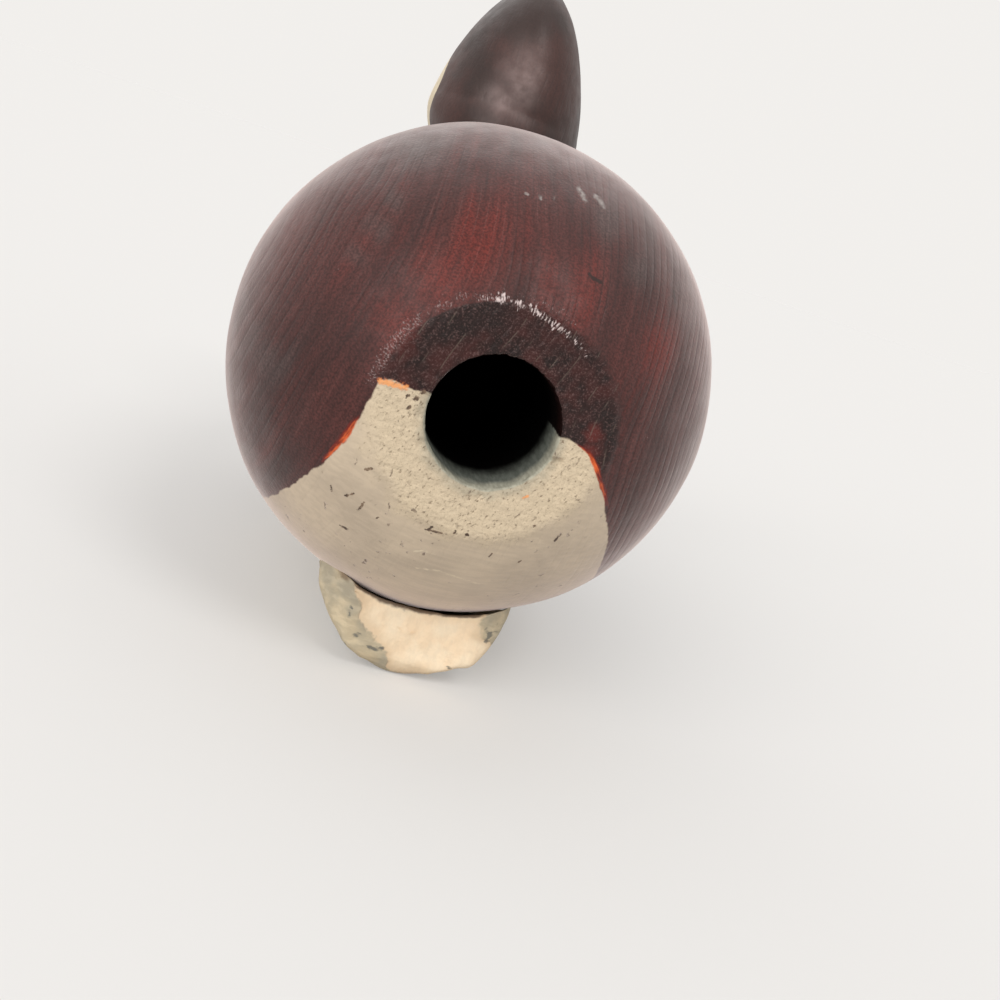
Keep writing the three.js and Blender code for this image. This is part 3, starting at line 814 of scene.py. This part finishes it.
def bore_paint_and_shade(paint, in_cream):
    """Colour inside the bore: dark stain or thin grey cream at its mouth, with painted shade that darkens it
    to near black further in.
    """
    mouth = paint.mix(in_cream, (30, 18, 17), (176, 172, 154))
    half_shade = paint.mix(in_cream, (18, 13, 12), (104, 107, 99))
    depth = paint.mark("bore") + paint.swing(3, 2.2, 3, 38)
    # Painted shade: darker and darker with depth into the bore
    wall = paint.mix(depth.fade(1, 5), mouth, half_shade)
    wall = paint.mix(depth.fade(5, 12), wall, (8, 7, 7))
    return paint.shade(wall, paint.noise(0.6, 3, 37, (1, 0.2, 1)).fade(0.35, 0.65, 0.82, 1.14))


def bore_wood_and_shade():
    """Matt wood inside the tail bore, with painted shade deeper in."""
    paint = Paint("bore_wood_and_shade", Specular_IOR_Level=0.0)
    roughness = paint.noise(0.8, 3, 1, (1, 0.2, 1)).fade(0.3, 0.7, 0.9, 1)
    return paint.finish(bore_paint_and_shade(paint, cream_share(paint)), roughness)


def body_paint():
    paint = Paint("body_paint", Specular_IOR_Level=0.3, Specular_Tint=WARM,
                  Sheen_Weight=0.95, Sheen_Roughness=0.34, Sheen_Tint=WARM)
    rings = paint.mark("rings")
    seat = paint.mark("seat")
    grain = paint.point(rings * (RING_SPACING * MM), paint.part(1), paint.part(2))
    brown, line = glaze(paint, rings, grain)
    stained = paint.mark("stain") + paint.swing(0.9, 1.4, 3, 13)
    brown = paint.mix(stained.fade(0.25, 0.75), brown, seat_stain(paint, rings))
    # Painted highlight: pale strokes and specks on the ridge, where the real polish also lowers the
    # roughness
    ridge_highlight = painted_ridge_highlights(paint, seat)
    brown = flames(paint, paint.mix(ridge_highlight, brown, (206, 188, 184)))
    cream, pits = cream_coat(paint, seat)
    in_cream = cream_share(paint)
    surface = with_small_marks(paint, paint.mix(in_cream, brown, cream))
    # Painted shade inside the bore, over its own paint at the mouth
    surface = paint.mix(paint.mark("bore").fade(0.1, 0.6), surface, bore_paint_and_shade(paint, in_cream))

    gloss = paint.noise(3, 2, 31).fade(0.35, 0.65, 0.38, 0.5)
    roughness = gloss - ridge_highlight * 0.2 + in_cream * 0.2
    rough_seat = paint.noise(0.8, 3, 33) * 0.3 * seat.fade(-1.5, 0.5)
    height = paint.noise(0.5, 3, 32) * 0.045 + rough_seat - line * 0.06 - pits * in_cream * 0.1
    return paint.finish(surface, roughness, height)


def belly_z(x, y):
    """Lowest height of the body over a place, less the keel's gap."""
    radius = section_radius(y) + KEEL_GAP
    return middle_z(y) - np.sqrt(np.clip(radius ** 2 - x ** 2, 0, None))


def keel_corner(radius, hollow, middle):
    """Place, across and up, where the keel's side meets the hollow for the belly."""
    wall_z = middle - math.sqrt(hollow ** 2 - radius ** 2)
    if wall_z >= KEEL_CENTRE_Z:
        return radius, wall_z
    round_z = (radius ** 2 - KEEL_CENTRE_Z ** 2 - hollow ** 2 + middle ** 2) / (2 * (middle - KEEL_CENTRE_Z))
    return math.sqrt(radius ** 2 - (round_z - KEEL_CENTRE_Z) ** 2), round_z


def keel_section(y, inset):
    """The keel's outline at a place along it: foot, half-round sides and a top hollowed to the belly."""
    radius = KEEL_RADIUS - inset
    hollow = section_radius(y) + KEEL_GAP + inset
    middle = middle_z(y)
    corner_x, corner_z = keel_corner(radius, hollow, middle)
    wall = max(0.0, corner_z - KEEL_CENTRE_Z)
    start = math.asin(max(0.0, KEEL_CENTRE_Z - corner_z) / radius)
    low = math.asin((KEEL_CENTRE_Z - inset) / radius)
    down = np.linspace(0, wall + radius * (low - start), KEEL_SIDE_POINTS)
    turn = start + np.maximum(0, down - wall) / radius
    side_z = np.where(down < wall, corner_z - down, KEEL_CENTRE_Z - radius * np.sin(turn))
    left = np.stack([-radius * np.cos(turn), side_z], axis=1)
    right = left[::-1] * (-1, 1)
    sole = np.linspace(left[-1], right[0], KEEL_SOLE_POINTS + 2)[1:-1]
    over = np.linspace(corner_x, -corner_x, KEEL_TOP_POINTS + 2)[1:-1]
    top = np.stack([over, middle - np.sqrt(hollow ** 2 - over ** 2)], axis=1)
    loop = np.concatenate([left, sole, right, top])
    return np.insert(loop, 1, y, axis=1)


def keel_end(y, towards):
    """Rings over one end of the keel, from its middle to where its sides begin."""
    edge = keel_section(y, KEEL_ROUNDING)
    middle = np.array([0, y, KEEL_END_Z])
    shares = np.linspace(KEEL_END_START, 1, KEEL_END_RINGS)
    rings = [middle + (edge - middle) * share for share in shares]
    for angle in quarter(KEEL_EDGE_RINGS)[1:]:
        inset = KEEL_ROUNDING * (1 - math.sin(angle))
        rings.append(keel_section(y + towards * KEEL_ROUNDING * (1 - math.cos(angle)), inset))
    return rings


def whittled(points):
    """Rounds the rear end's foot, cuts its corners back to knife facets, and bevels the nose."""
    x, y, z = points.T
    worked = KEEL_HALF_LENGTH - KEEL_WORKED
    near_rear = 1 - smooth_step(-KEEL_HALF_LENGTH, -worked, y)
    rise = KEEL_FOOT_RISE * (1 - hump(x, KEEL_FOOT_FLAT)) * (1 - smooth_step(9.5, 13, x))
    z = z + near_rear * (1 - smooth_step(6, 13, z)) * rise
    cut = np.zeros(len(points))
    for out, (start, slope) in ((-x, LEFT_FACET), (x, RIGHT_FACET), (-z, LOW_FACET)):
        cut += slope * np.maximum(0, out - start)
    bevel = np.maximum(0, KEEL_NOSE - z)
    into_rear = np.maximum(0, -worked - y) / KEEL_WORKED
    into_front = np.maximum(0, y - worked) / KEEL_WORKED
    return joined(x, y + cut * into_rear - bevel * into_front, z)


def with_worn_lip(points):
    """Wears down the upper edge of the keel's rear end."""
    x, y, z = points.T
    lip = hump(belly_z(x, y) - z, 1.5) * (y < -KEEL_HALF_LENGTH + 3) * (1 - smooth_step(7, 12, np.abs(x)))
    return joined(x, y, z - lip * (0.3 + 0.35 * noise(points, 4, 44)))


def keel_marks(points):
    """Where the keel is bare, glue shows in its joint, and its rear end is stained and smeared."""
    x, y, z = points.T
    at_rear = y < -KEEL_HALF_LENGTH + 4
    left_edge = x + 6.9 + 0.55 * (z - 7.5)
    right_edge = 16.2 - x - 4.0 * smooth_step(8.5, 11, z)
    low_left = 2.6 * (1 - smooth_step(-2.5, 0.0, x)) + 0.65 * np.maximum(0, -1.2 - x)
    low_edge = (z - 0.4 - low_left) * 0.8
    cut_face = np.minimum.reduce([left_edge, right_edge, low_edge])
    worn_foot = 0.7 - z + 0.6 * noise(points, 7, 43)
    thick = 0.4 + 0.5 * hump(x + 3.5, 4)
    joint = np.exp(-np.maximum(0, belly_z(x, y) - z - 0.9) / thick) * between(x, -11.5, -9.0, 10.5, 12.5)
    marks = {"bare": np.where(at_rear, cut_face, worn_foot), "joint": joint}
    for name, blots_seen in KEEL_BLOTS.items():
        marks[name] = blots(points, *blots_seen) * at_rear
    return marks


def make_keel():
    rear = keel_end(-KEEL_HALF_LENGTH, 1)
    front = keel_end(KEEL_HALF_LENGTH, -1)
    side_reach = KEEL_HALF_LENGTH - KEEL_ROUNDING
    sides = [keel_section(y, 0) for y in np.linspace(-side_reach, side_reach, KEEL_SIDE_RINGS)[1:-1]]
    rings = np.array(rear + sides + front[::-1])
    mesh = ring_mesh("decoy_keel", whittled(rings.reshape(-1, 3)).reshape(rings.shape))
    points = places(mesh)
    wear = 0.22 * noise(points, 5, 41) + 0.1 * noise(points, 1.8, 42) - 0.25
    raise_surface(mesh, wear * smooth_step(0.0, 1.2, points[:, 2]))
    place(mesh, with_worn_lip(places(mesh)))
    cut_pockets(mesh)
    store(mesh, **keel_marks(places(mesh)))
    add_piece(mesh, keel_paint(), "body", "keel_wood", "keel")


def disc(radius, y, z, sides=48):
    turn = around(sides)
    return joined(radius * np.cos(turn), y + radius * np.sin(turn), z)


def stadium(radius, y, z):
    """Outline of a round-ended bar along Y."""
    loop = disc(radius, 0, z)
    loop[:, 1] += y + np.where(loop[:, 1] >= 0, BAR_STRAIGHT, -BAR_STRAIGHT)
    return loop


def cut_pockets(mesh):
    """Opens the keel's foot for its screws and lead bars."""
    pockets = []
    head = SCREW_HEAD_RADIUS + KEEL_GAP
    for y in SCREW_PLACES:
        pockets.append([disc(head, y, POCKET_START), disc(head, y, SCREW_RIM),
                        disc(SCREW_SHANK_RADIUS, y, SCREW_TOP), disc(SCREW_SHANK_RADIUS, y, SCREW_HOLE_TOP)])
    for y in BAR_PLACES.values():
        pockets.append([stadium(BAR_RADIUS + KEEL_GAP, y, z) for z in (POCKET_START, BAR_TOP + KEEL_GAP)])
    holder = link("keel_block", mesh)
    cutters = [link("cutter", ring_mesh("cutter", np.array(rings))) for rings in pockets]
    for cutter in cutters:
        modifier = holder.modifiers.new("pocket", "BOOLEAN")
        modifier.operation = "DIFFERENCE"
        modifier.object = cutter
    evaluated = holder.evaluated_get(bpy.context.evaluated_depsgraph_get())
    shape = bmesh.new()
    shape.from_mesh(evaluated.to_mesh())
    for edge in shape.edges:
        edge.smooth = edge.calc_face_angle(0) < SHARP_EDGE
    shape.to_mesh(mesh)
    shape.free()
    for piece in (holder, *cutters):
        bpy.data.objects.remove(piece)
    mesh.update()


def keel_paint():
    """Worn cream paint, cut through to bare wood at the rear end."""
    paint = Paint("keel_paint", Specular_IOR_Level=0.35)
    coat = paint.mix(paint.noise(5, 3, 1).fade(0.38, 0.62), (178, 167, 145), (206, 189, 158))
    coat = paint.shade(coat, paint.noise(1, 3, 2, (0.25, 1, 1)).fade(0.4, 0.65, 0.88, 1.05))
    grime = paint.noise(1.7, 4, 3).fade(0.6, 0.68) * paint.noise(7, 2, 4).fade(0.48, 0.62)
    coat = paint.mix(grime * 0.75, coat, (98, 98, 92))
    wood = paint.mix(paint.noise(3.5, 3, 5).fade(0.35, 0.65), (248, 227, 196), (244, 218, 184))
    wood = paint.shade(wood, paint.noise(0.7, 2, 6, (1, 0.06, 0.5)).fade(0.35, 0.7, 1.02, 0.95))
    cut = paint.mark("bare")
    tan_edge = (cut + paint.swing(3, 2.5, 3, 14)).fade(0.2, 3.5, 0.65, 0)
    wood = paint.mix(tan_edge, wood, (214, 187, 152))
    bare = (cut + paint.swing(5, 3, 4, 7) + paint.swing(1.2, 0.8, 3, 12)).fade(-0.2, 0.7)
    surface = paint.mix(bare, coat, wood)
    smear = paint.mark("smear") + paint.swing(1.4, 1.2, 4, 13, (0.5, 1, 1))
    surface = paint.mix(smear.fade(0.2, 0.9, 0, 0.75), surface, (118, 92, 66))
    stain = paint.mark("stain") + paint.swing(1.8, 0.8, 4, 10, (0.5, 1, 1))
    surface = paint.mix(stain.fade(0.45, 0.85, 0, 0.8), surface, (92, 94, 90))
    joint = paint.mark("joint") + paint.swing(0.9, 1.2, 3, 11)
    surface = paint.mix(joint.fade(0.35, 0.95, 0, 0.9), surface, (78, 58, 44))
    roughness = paint.noise(2, 2, 8).fade(0.3, 0.7, 0.55, 0.72)
    return paint.finish(surface, roughness, paint.noise(0.6, 3, 9) * 0.12 - bare * 0.12)


def head_halves(height):
    """Half width and half length of the head at a height over its base."""
    share = np.clip(height / HEAD_HEIGHT, 0, 1)
    tuck = 1 - HEAD_TUCK * np.maximum(0, 1 - height / CHEEK_HEIGHT) ** 2
    wide = HEAD_HALF_WIDTH * tuck * (1 - share ** HEAD_PEAK) ** (1 / HEAD_PEAK)
    long = HEAD_HALF_LENGTH * tuck * (1 - share ** HEAD_ROUNDNESS) ** (1 / HEAD_ROUNDNESS)
    return wide, long


def head_middle(height):
    """Place along Y of the head's middle at a height over its base."""
    return NECK_Y + HEAD_FORWARD * np.clip(height / CHEEK_HEIGHT, 0, 1)


def head_ring(height, share=1.0):
    """A level ring round the head, or a share of its size inside it."""
    wide, long = head_halves(height)
    turn = around(HEAD_SIDES)
    along = head_middle(height) + share * long * np.cos(turn)
    return joined(share * wide * np.sin(turn), along, HEAD_BASE_Z + height)


def eye_place(side):
    """Middle of a glass eye and the way that it looks."""
    wide, long = head_halves(EYE_HEIGHT)
    spot_x = side * wide * math.sin(EYE_BEARING)
    spot_y = long * math.cos(EYE_BEARING)
    facing = Vector((spot_x / wide ** 2, spot_y / long ** 2, 0)).normalized()
    middle = Vector((spot_x, spot_y + head_middle(EYE_HEIGHT), HEAD_BASE_Z + EYE_HEIGHT))
    return middle + facing * (2 * EYE_RADIUS * (EYE_SHOWN - 0.5)), facing


def make_head():
    heights = HEAD_HEIGHT * np.sin(quarter(HEAD_RINGS)[:-1])
    rings = [head_ring(0.0, share) for share in (0.4, 0.8)] + [head_ring(height) for height in heights]
    mesh = ring_mesh("decoy_head", np.array(rings))
    points = places(mesh)
    x, y, z = points.T
    relief = 0.15 * noise(points, 9, 51) + 0.05 * noise(points, 2.5, 52)
    for side in (-1, 1):
        middle, _ = eye_place(side)
        away = np.linalg.norm(points - np.array(middle), axis=1)
        relief -= EYE_HOLLOW * hump(away - EYE_HOLLOW_RADIUS, 0.7) * (away < 7)
    raise_surface(mesh, np.where(z < HEAD_BASE_Z + 0.5, 0, relief))
    behind = np.minimum(0, y - NECK_Y - HEAD_FORWARD - CHEEK_MIDDLE[0]) / CHEEK_REACH[0]
    up = np.maximum(0, z - HEAD_BASE_Z - CHEEK_MIDDLE[1]) / CHEEK_REACH[1]
    # Painted highlight: pale patches on the back of the head
    rub = blots(points - (0, 0, HEAD_BASE_Z), *HEAD_HIGHLIGHTS) * (y < NECK_Y)
    store(mesh, cheek=(1 - np.hypot(behind, up)) * 10, rub=rub)
    add_piece(mesh, head_paint(), "head", "head_paint", "head")


def head_paint():
    """Dark brown paint with ring lines, a painted highlight on the back, and cream cheeks."""
    paint = Paint("head_paint", Specular_IOR_Level=0.45, Specular_Tint=WARM)
    brown = paint.mix(paint.noise(12, 3, 1).fade(0.4, 0.62), (36, 22, 19), (58, 33, 29))
    rings = paint.part(0) * (1 / (RING_SPACING * MM)) + paint.swing(3, 8, 2, 2)
    line = rings.off_whole().fade(0, 0.25, 0.3, 0) * paint.noise(6, 3, 8).fade(0.4, 0.62)
    brown = paint.mix(line, brown, (36, 24, 24))
    brown = paint.shade(brown, paint.noise(0.5, 2, 3).fade(0.3, 0.7, 0.82, 1.18))
    # Painted highlight on the back of the head
    rubbed = paint.mark("rub") * paint.noise(3, 3, 10).fade(0.3, 0.7, 0.3, 0.7)
    brown = paint.mix(rubbed, brown, (150, 130, 126))
    cream = paint.mix(paint.noise(5, 3, 4).fade(0.35, 0.65), (206, 190, 160), (222, 206, 176))
    ragged = paint.swing(1.2, 3, 2, 5) + paint.swing(0.5, 0.9, 3, 9)
    cheek = (paint.mark("cheek") + ragged).fade(-0.15, 0.15)
    surface = paint.mix(cheek, brown, cream)
    roughness = paint.noise(3, 2, 6).fade(0.35, 0.65, 0.42, 0.5)
    return paint.finish(surface, roughness, paint.noise(0.6, 3, 7) * 0.05 - line * 0.08)


def bill_ahead(along):
    """Share of the bill's length that lies ahead of a place along it."""
    return 1 - np.clip(along / BILL_LENGTH, 0, 1)


def bill_middle(ahead):
    """Height of the bill's middle line."""
    return HEAD_BASE_Z + BILL_HEIGHT - BILL_SAG * (1 - ahead ** 2)


def bill_section(along):
    """Half width and half thickness of the bill at a place along it."""
    thickness = BILL_TIP_THICKNESS + (BILL_ROOT_THICKNESS - BILL_TIP_THICKNESS) * bill_ahead(along) ** 2
    half_width = BILL_HALF_ROOT + (BILL_HALF_TIP - BILL_HALF_ROOT) * smooth_step(0, BILL_LENGTH, along)
    half_width -= BILL_WAIST * hump(along - WAIST_PLACE, WAIST_REACH)
    tip = max(0.0, (along - BILL_LENGTH + BILL_HALF_TIP) / BILL_HALF_TIP)
    round_tip = math.sqrt(max(0.0, 1 - tip ** 2))
    return half_width * round_tip, thickness / 2 * (0.35 + 0.65 * round_tip)


def rounded(wave):
    """A sine or cosine, filled out for a section that is squarer than an ellipse."""
    return np.sign(wave) * np.abs(wave) ** (2 / BILL_SQUARENESS)


def make_bill():
    root_y = float(head_middle(BILL_HEIGHT) + head_halves(BILL_HEIGHT)[1])
    turn = around(BILL_SIDES)
    rings = []
    for along in (BILL_LENGTH + BILL_TENON) * np.sin(quarter(BILL_RINGS)[:-1]) - BILL_TENON:
        half_width, half_thickness = bill_section(along)
        upward = bill_middle(bill_ahead(along)) + half_thickness * rounded(np.sin(turn))
        rings.append(joined(half_width * rounded(np.cos(turn)), root_y + along, upward))
    mesh = ring_mesh("decoy_bill", np.array(rings))
    points = places(mesh)
    x, along, z = (points - (0, root_y, 0)).T
    upper = read(mesh, "normal")[:, 2] > 0.2
    crown = BILL_CROWN * hump(x, CROWN_REACH) * (1 - smooth_step(*CROWN_FADE, along)) * upper
    from_nail = along - BILL_LENGTH + NAIL_FROM_TIP
    nail = BILL_NAIL * np.exp(-(x / NAIL_SIZE[0]) ** 4 - (from_nail / NAIL_SIZE[1]) ** 4) * upper
    nostril = hump(np.abs(x) - NOSTRIL_PLACE[0], NOSTRIL_SIZE[0]) * upper
    nostril *= hump(along - NOSTRIL_PLACE[1], NOSTRIL_SIZE[1])
    mouth_z = bill_middle(bill_ahead(along)) - MOUTH_DROP * bill_ahead(along)
    lips = hump(z - mouth_z, LIP_WIDTH) * (np.abs(x) > LIP_START)
    relief = crown + nail - NOSTRIL_DEPTH * nostril - LIP_DEPTH * lips
    raise_surface(mesh, relief + 0.06 * noise(points, 3, 61))
    store(mesh, nostril=nostril + 0.6 * lips, nail=nail)
    add_piece(mesh, bill_paint(), "head", "bill_paint", "bill")


def bill_paint():
    paint = Paint("bill_paint", Specular_IOR_Level=0.5)
    slate = paint.mix(paint.noise(5, 3, 1).fade(0.35, 0.65), (84, 92, 96), (102, 112, 116))
    slate = paint.shade(slate, paint.noise(0.6, 3, 2).fade(0.3, 0.7, 0.86, 1.12))
    slate = paint.mix(paint.mark("nail").fade(0.1, 0.35), slate, (42, 42, 42))
    slate = paint.mix(paint.mark("nostril").fade(0.3, 0.7), slate, (26, 26, 26))
    roughness = paint.noise(2, 2, 3).fade(0.3, 0.7, 0.36, 0.5)
    return paint.finish(slate, roughness, paint.noise(0.7, 3, 4) * 0.08)


def make_eye(name, side, material):
    """A glass ball, let into the side of the head."""
    middle, facing = eye_place(side)
    turn = around(EYE_SIDES)
    down = np.linspace(0, math.pi, EYE_RINGS + 2)[:, None]
    ball = joined(np.sin(down) * np.cos(turn), np.sin(down) * np.sin(turn), np.cos(down))
    rings = np.array(middle) + EYE_RADIUS * ball
    mesh = ring_mesh(name + "_glass", rings[1:-1], [rings[0, 0], rings[-1, 0]])
    store(mesh, look=(places(mesh) - np.array(middle)) / EYE_RADIUS @ np.array(facing))
    add_piece(mesh, material, "head", "eye_glass", name)


def eye_glass():
    """Clear-coated glass, with a dark rim, a brown iris and a black pupil."""
    paint = Paint("eye_glass", Coat_Weight=1.0, Coat_Roughness=0.02)
    look = paint.mark("look")
    iris = paint.mix(paint.noise(0.5, 3, 1), (96, 48, 20), (150, 86, 36))
    iris = paint.mix(look.fade(0.74, 0.8), (34, 18, 10), iris)
    return paint.finish(paint.mix(look.fade(0.9, 0.915), iris, (6, 5, 5)), 0.06)


def tube_ring(centre, bearing, radius, sides=20):
    """An upright ring round a wire's middle, reaching out to a bearing."""
    turn = around(sides)[:, None]
    out = np.array([math.cos(bearing), math.sin(bearing), 0])
    return centre + radius * (np.cos(turn) * out + np.sin(turn) * np.array([0, 0, 1]))


def make_line_tie():
    """A wire eye, closed but for a hair gap, on a threaded shank."""
    rings = []
    for y in np.linspace(*TIE_SHANK, TIE_SHANK_RINGS):
        thread = THREAD_DEPTH * math.cos(FULL_TURN * y / THREAD_PITCH) if y < KEEL_HALF_LENGTH else 0
        past_point = smooth_step(TIE_SHANK[0], TIE_SHANK[0] + TIE_POINT, y)
        taper = TIE_POINT_SHARE + (1 - TIE_POINT_SHARE) * past_point
        rings.append(tube_ring(np.array([0, y, TIE_Z]), 0, (TIE_WIRE - THREAD_DEPTH + thread) * taper))
    shank = ring_mesh("line_tie_shank", np.array(rings))
    loops = []
    for turn in np.linspace(TIE_GAP[0], FULL_TURN - TIE_GAP[1], TIE_LOOP_RINGS) - QUARTER_TURN:
        centre = np.array([TIE_RING * math.cos(turn), TIE_RING_Y + TIE_RING * math.sin(turn), TIE_Z])
        loops.append(tube_ring(centre, turn, TIE_WIRE))
    loop = ring_mesh("line_tie", np.array(loops))
    shape = bmesh.new()
    shape.from_mesh(loop)
    shape.from_mesh(shank)
    shape.to_mesh(loop)
    shape.free()
    bpy.data.meshes.remove(shank)
    loop.shade_smooth()
    add_piece(loop, old_brass("tie_brass"), "body", "tie_brass", "line_tie_eye")


def old_brass(name):
    paint = Paint(name, Metallic=1.0)
    metal = paint.mix(paint.noise(2.5, 3, 1).fade(0.4, 0.62), (150, 120, 66), (188, 154, 92))
    metal = paint.mix(paint.noise(1.2, 4, 2).fade(0.5, 0.66, 0, 0.7), metal, (92, 72, 46))
    roughness = paint.noise(1.5, 3, 3).fade(0.3, 0.7, 0.3, 0.55)
    return paint.finish(metal, roughness, paint.noise(0.4, 3, 4) * 0.03)


def make_lead_bar(end, y, material):
    """A cast bar with round ends, dented in use."""
    rings = [stadium(BAR_RADIUS * share, y, BAR_BOTTOM) for share in BAR_FACE_SHARES]
    for angle in quarter(BAR_EDGE_RINGS):
        inset = BAR_EDGE * (1 - math.sin(angle))
        rings.append(stadium(BAR_RADIUS - inset, y, BAR_BOTTOM + BAR_EDGE * (1 - math.cos(angle))))
    rings += [stadium(BAR_RADIUS, y, z) for z in (BAR_WAIST_Z, BAR_TOP)]
    mesh = ring_mesh(f"lead_bar_{end}", np.array(rings))
    points = places(mesh)
    raise_surface(mesh, -BAR_DENT * (1 + noise(points, 2.5, 71)) * (points[:, 2] < BAR_DENT_TOP))
    add_piece(mesh, material, "body", "ballast_lead", f"ballast_bar_{end}")


def dull_lead():
    paint = Paint("dull_lead", Metallic=0.75)
    grey = paint.mix(paint.noise(3, 3, 1).fade(0.4, 0.62), (104, 106, 110), (134, 136, 140))
    grey = paint.mix(paint.noise(0.9, 4, 2).fade(0.55, 0.7), grey, (164, 164, 162))
    roughness = paint.noise(1.5, 3, 3).fade(0.3, 0.7, 0.5, 0.75)
    return paint.finish(grey, roughness, paint.noise(1, 3, 4) * 0.12)


def bare_dowel():
    paint = Paint("bare_dowel")
    grain = paint.noise(0.8, 3, 1, (1, 1, 0.08))
    wood = paint.mix(grain.fade(0.35, 0.65), (190, 156, 108), (214, 182, 134))
    return paint.finish(wood, grain.fade(0.3, 0.7, 0.65, 0.8))


def dress_cad_nodes():
    """Finishes the pieces that keep their CAD shape."""
    brass = old_brass("screw_brass")
    finishes = {"keel_screw_rear": brass, "keel_screw_front": brass, "neck_dowel": bare_dowel()}
    for name, material in finishes.items():
        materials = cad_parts[name].data.materials
        materials.clear()
        materials.append(material)


# Camera: behind the tail, a little left and above, leaning so that the decoy tips to the right
CAMERA_OFFSET = (-26.3, -180.5, 28.2)
CAMERA_LEAN = math.radians(18.2)
CAMERA_SENSOR = 36.0
CAMERA_FIELD = math.radians(50)
CAMERA_NEAREST = 0.005
PICTURE = 1000
BODY_PIXEL = (470.2, 374.1)


def make_camera():
    """Aims at the body's middle, then turns to bring it to its place in the picture."""
    target = Vector((0, RUMP_Y, AXIS_Z))
    eye = target + Vector(CAMERA_OFFSET)
    focal = PICTURE / 2 / math.tan(CAMERA_FIELD / 2)
    pan = math.atan((BODY_PIXEL[0] - PICTURE / 2) / focal)
    tilt = math.atan((PICTURE / 2 - BODY_PIXEL[1]) / focal)
    turn = (target - eye).to_track_quat("-Z", "Y").to_matrix().to_4x4()
    for axis, angle in (("Z", CAMERA_LEAN), ("Y", pan), ("X", -tilt)):
        turn = turn @ Matrix.Rotation(angle, 4, axis)
    camera = link("camera", bpy.data.cameras.new("camera"))
    camera.data.sensor_width = CAMERA_SENSOR
    camera.data.lens = CAMERA_SENSOR / 2 / math.tan(CAMERA_FIELD / 2)
    camera.data.clip_start = CAMERA_NEAREST
    camera.matrix_world = Matrix.Translation(eye * MM) @ turn
    bpy.context.scene.camera = camera


# Light: an even sky and three soft far lamps, each with its direction, strength and spread in degrees
PALE = (0.885, 0.865, 0.84)
SKY_LIGHT = 0.56
LAMPS = {
    "key": (Vector((-0.6, -0.69, 0.42)).normalized(), 1.65, 50),
    "window": (Vector((0.3, -0.55, 0.8)).normalized(), 0.8, 24),
    "back": (Vector((-0.15, 0.6, 0.8)).normalized(), 0.8, 70),
}
FLOOR_LIGHT = SKY_LIGHT + sum(strength * towards.z for towards, strength, _ in LAMPS.values()) / math.pi
FLOOR_GLOW = 0.3
FLOOR_REACH = 30.0


def make_floor():
    """A wide pale cloth, lightened a little for the camera so that its shadows stay pale."""
    mesh = bpy.data.meshes.new("floor")
    corners = [(x * FLOOR_REACH, y * FLOOR_REACH, 0) for x, y in ((-1, -1), (1, -1), (1, 1), (-1, 1))]
    mesh.from_pydata(corners, [], [(0, 1, 2, 3)])
    cloth = tuple(share * (1 - FLOOR_GLOW) / FLOOR_LIGHT for share in PALE)
    paint = Paint("floor_cloth", Specular_IOR_Level=0.0, Emission_Color=(*PALE, 1))
    paint.set("Emission Strength", paint.seen() * FLOOR_GLOW)
    mesh.materials.append(paint.finish((*cloth, 1), 1.0))
    link("floor", mesh)


def make_sky():
    """Even pale light, with the floor's own paleness where the camera sees it."""
    world = bpy.data.worlds.new("studio")
    world.use_nodes = True
    bpy.context.scene.world = world
    sky = Nodes(world.node_tree)
    light = sky.tree.nodes["Background"]
    light.inputs["Color"].default_value = (1, 1, 1, 1)
    light.inputs["Strength"].default_value = SKY_LIGHT
    backdrop = sky.node("Background", {"Color": (*PALE, 1)})
    both = sky.node("MixShader", {0: sky.seen(), 1: Value(sky, light.outputs[0]), 2: backdrop})
    sky.feed(sky.tree.nodes["World Output"].inputs["Surface"], both)


def make_lamp(name, towards, strength, spread):
    """A soft far lamp that shines from a direction."""
    lamp = link(name, bpy.data.lights.new(name, "SUN"))
    lamp.data.energy = strength
    lamp.data.angle = math.radians(spread)
    lamp.rotation_euler = towards.to_track_quat("Z", "Y").to_euler()


make_camera()
make_body()
make_keel()
make_head()
make_bill()
glass = eye_glass()
for eye_name, eye_side in (("left_eye", -1), ("right_eye", 1)):
    make_eye(eye_name, eye_side, glass)
make_line_tie()
lead = dull_lead()
for bar_end, bar_y in BAR_PLACES.items():
    make_lead_bar(bar_end, bar_y, lead)
dress_cad_nodes()

make_floor()
make_sky()
for lamp_name, lamp_settings in LAMPS.items():
    make_lamp(lamp_name, *lamp_settings)
bpy.context.scene.view_settings.view_transform = "Standard"
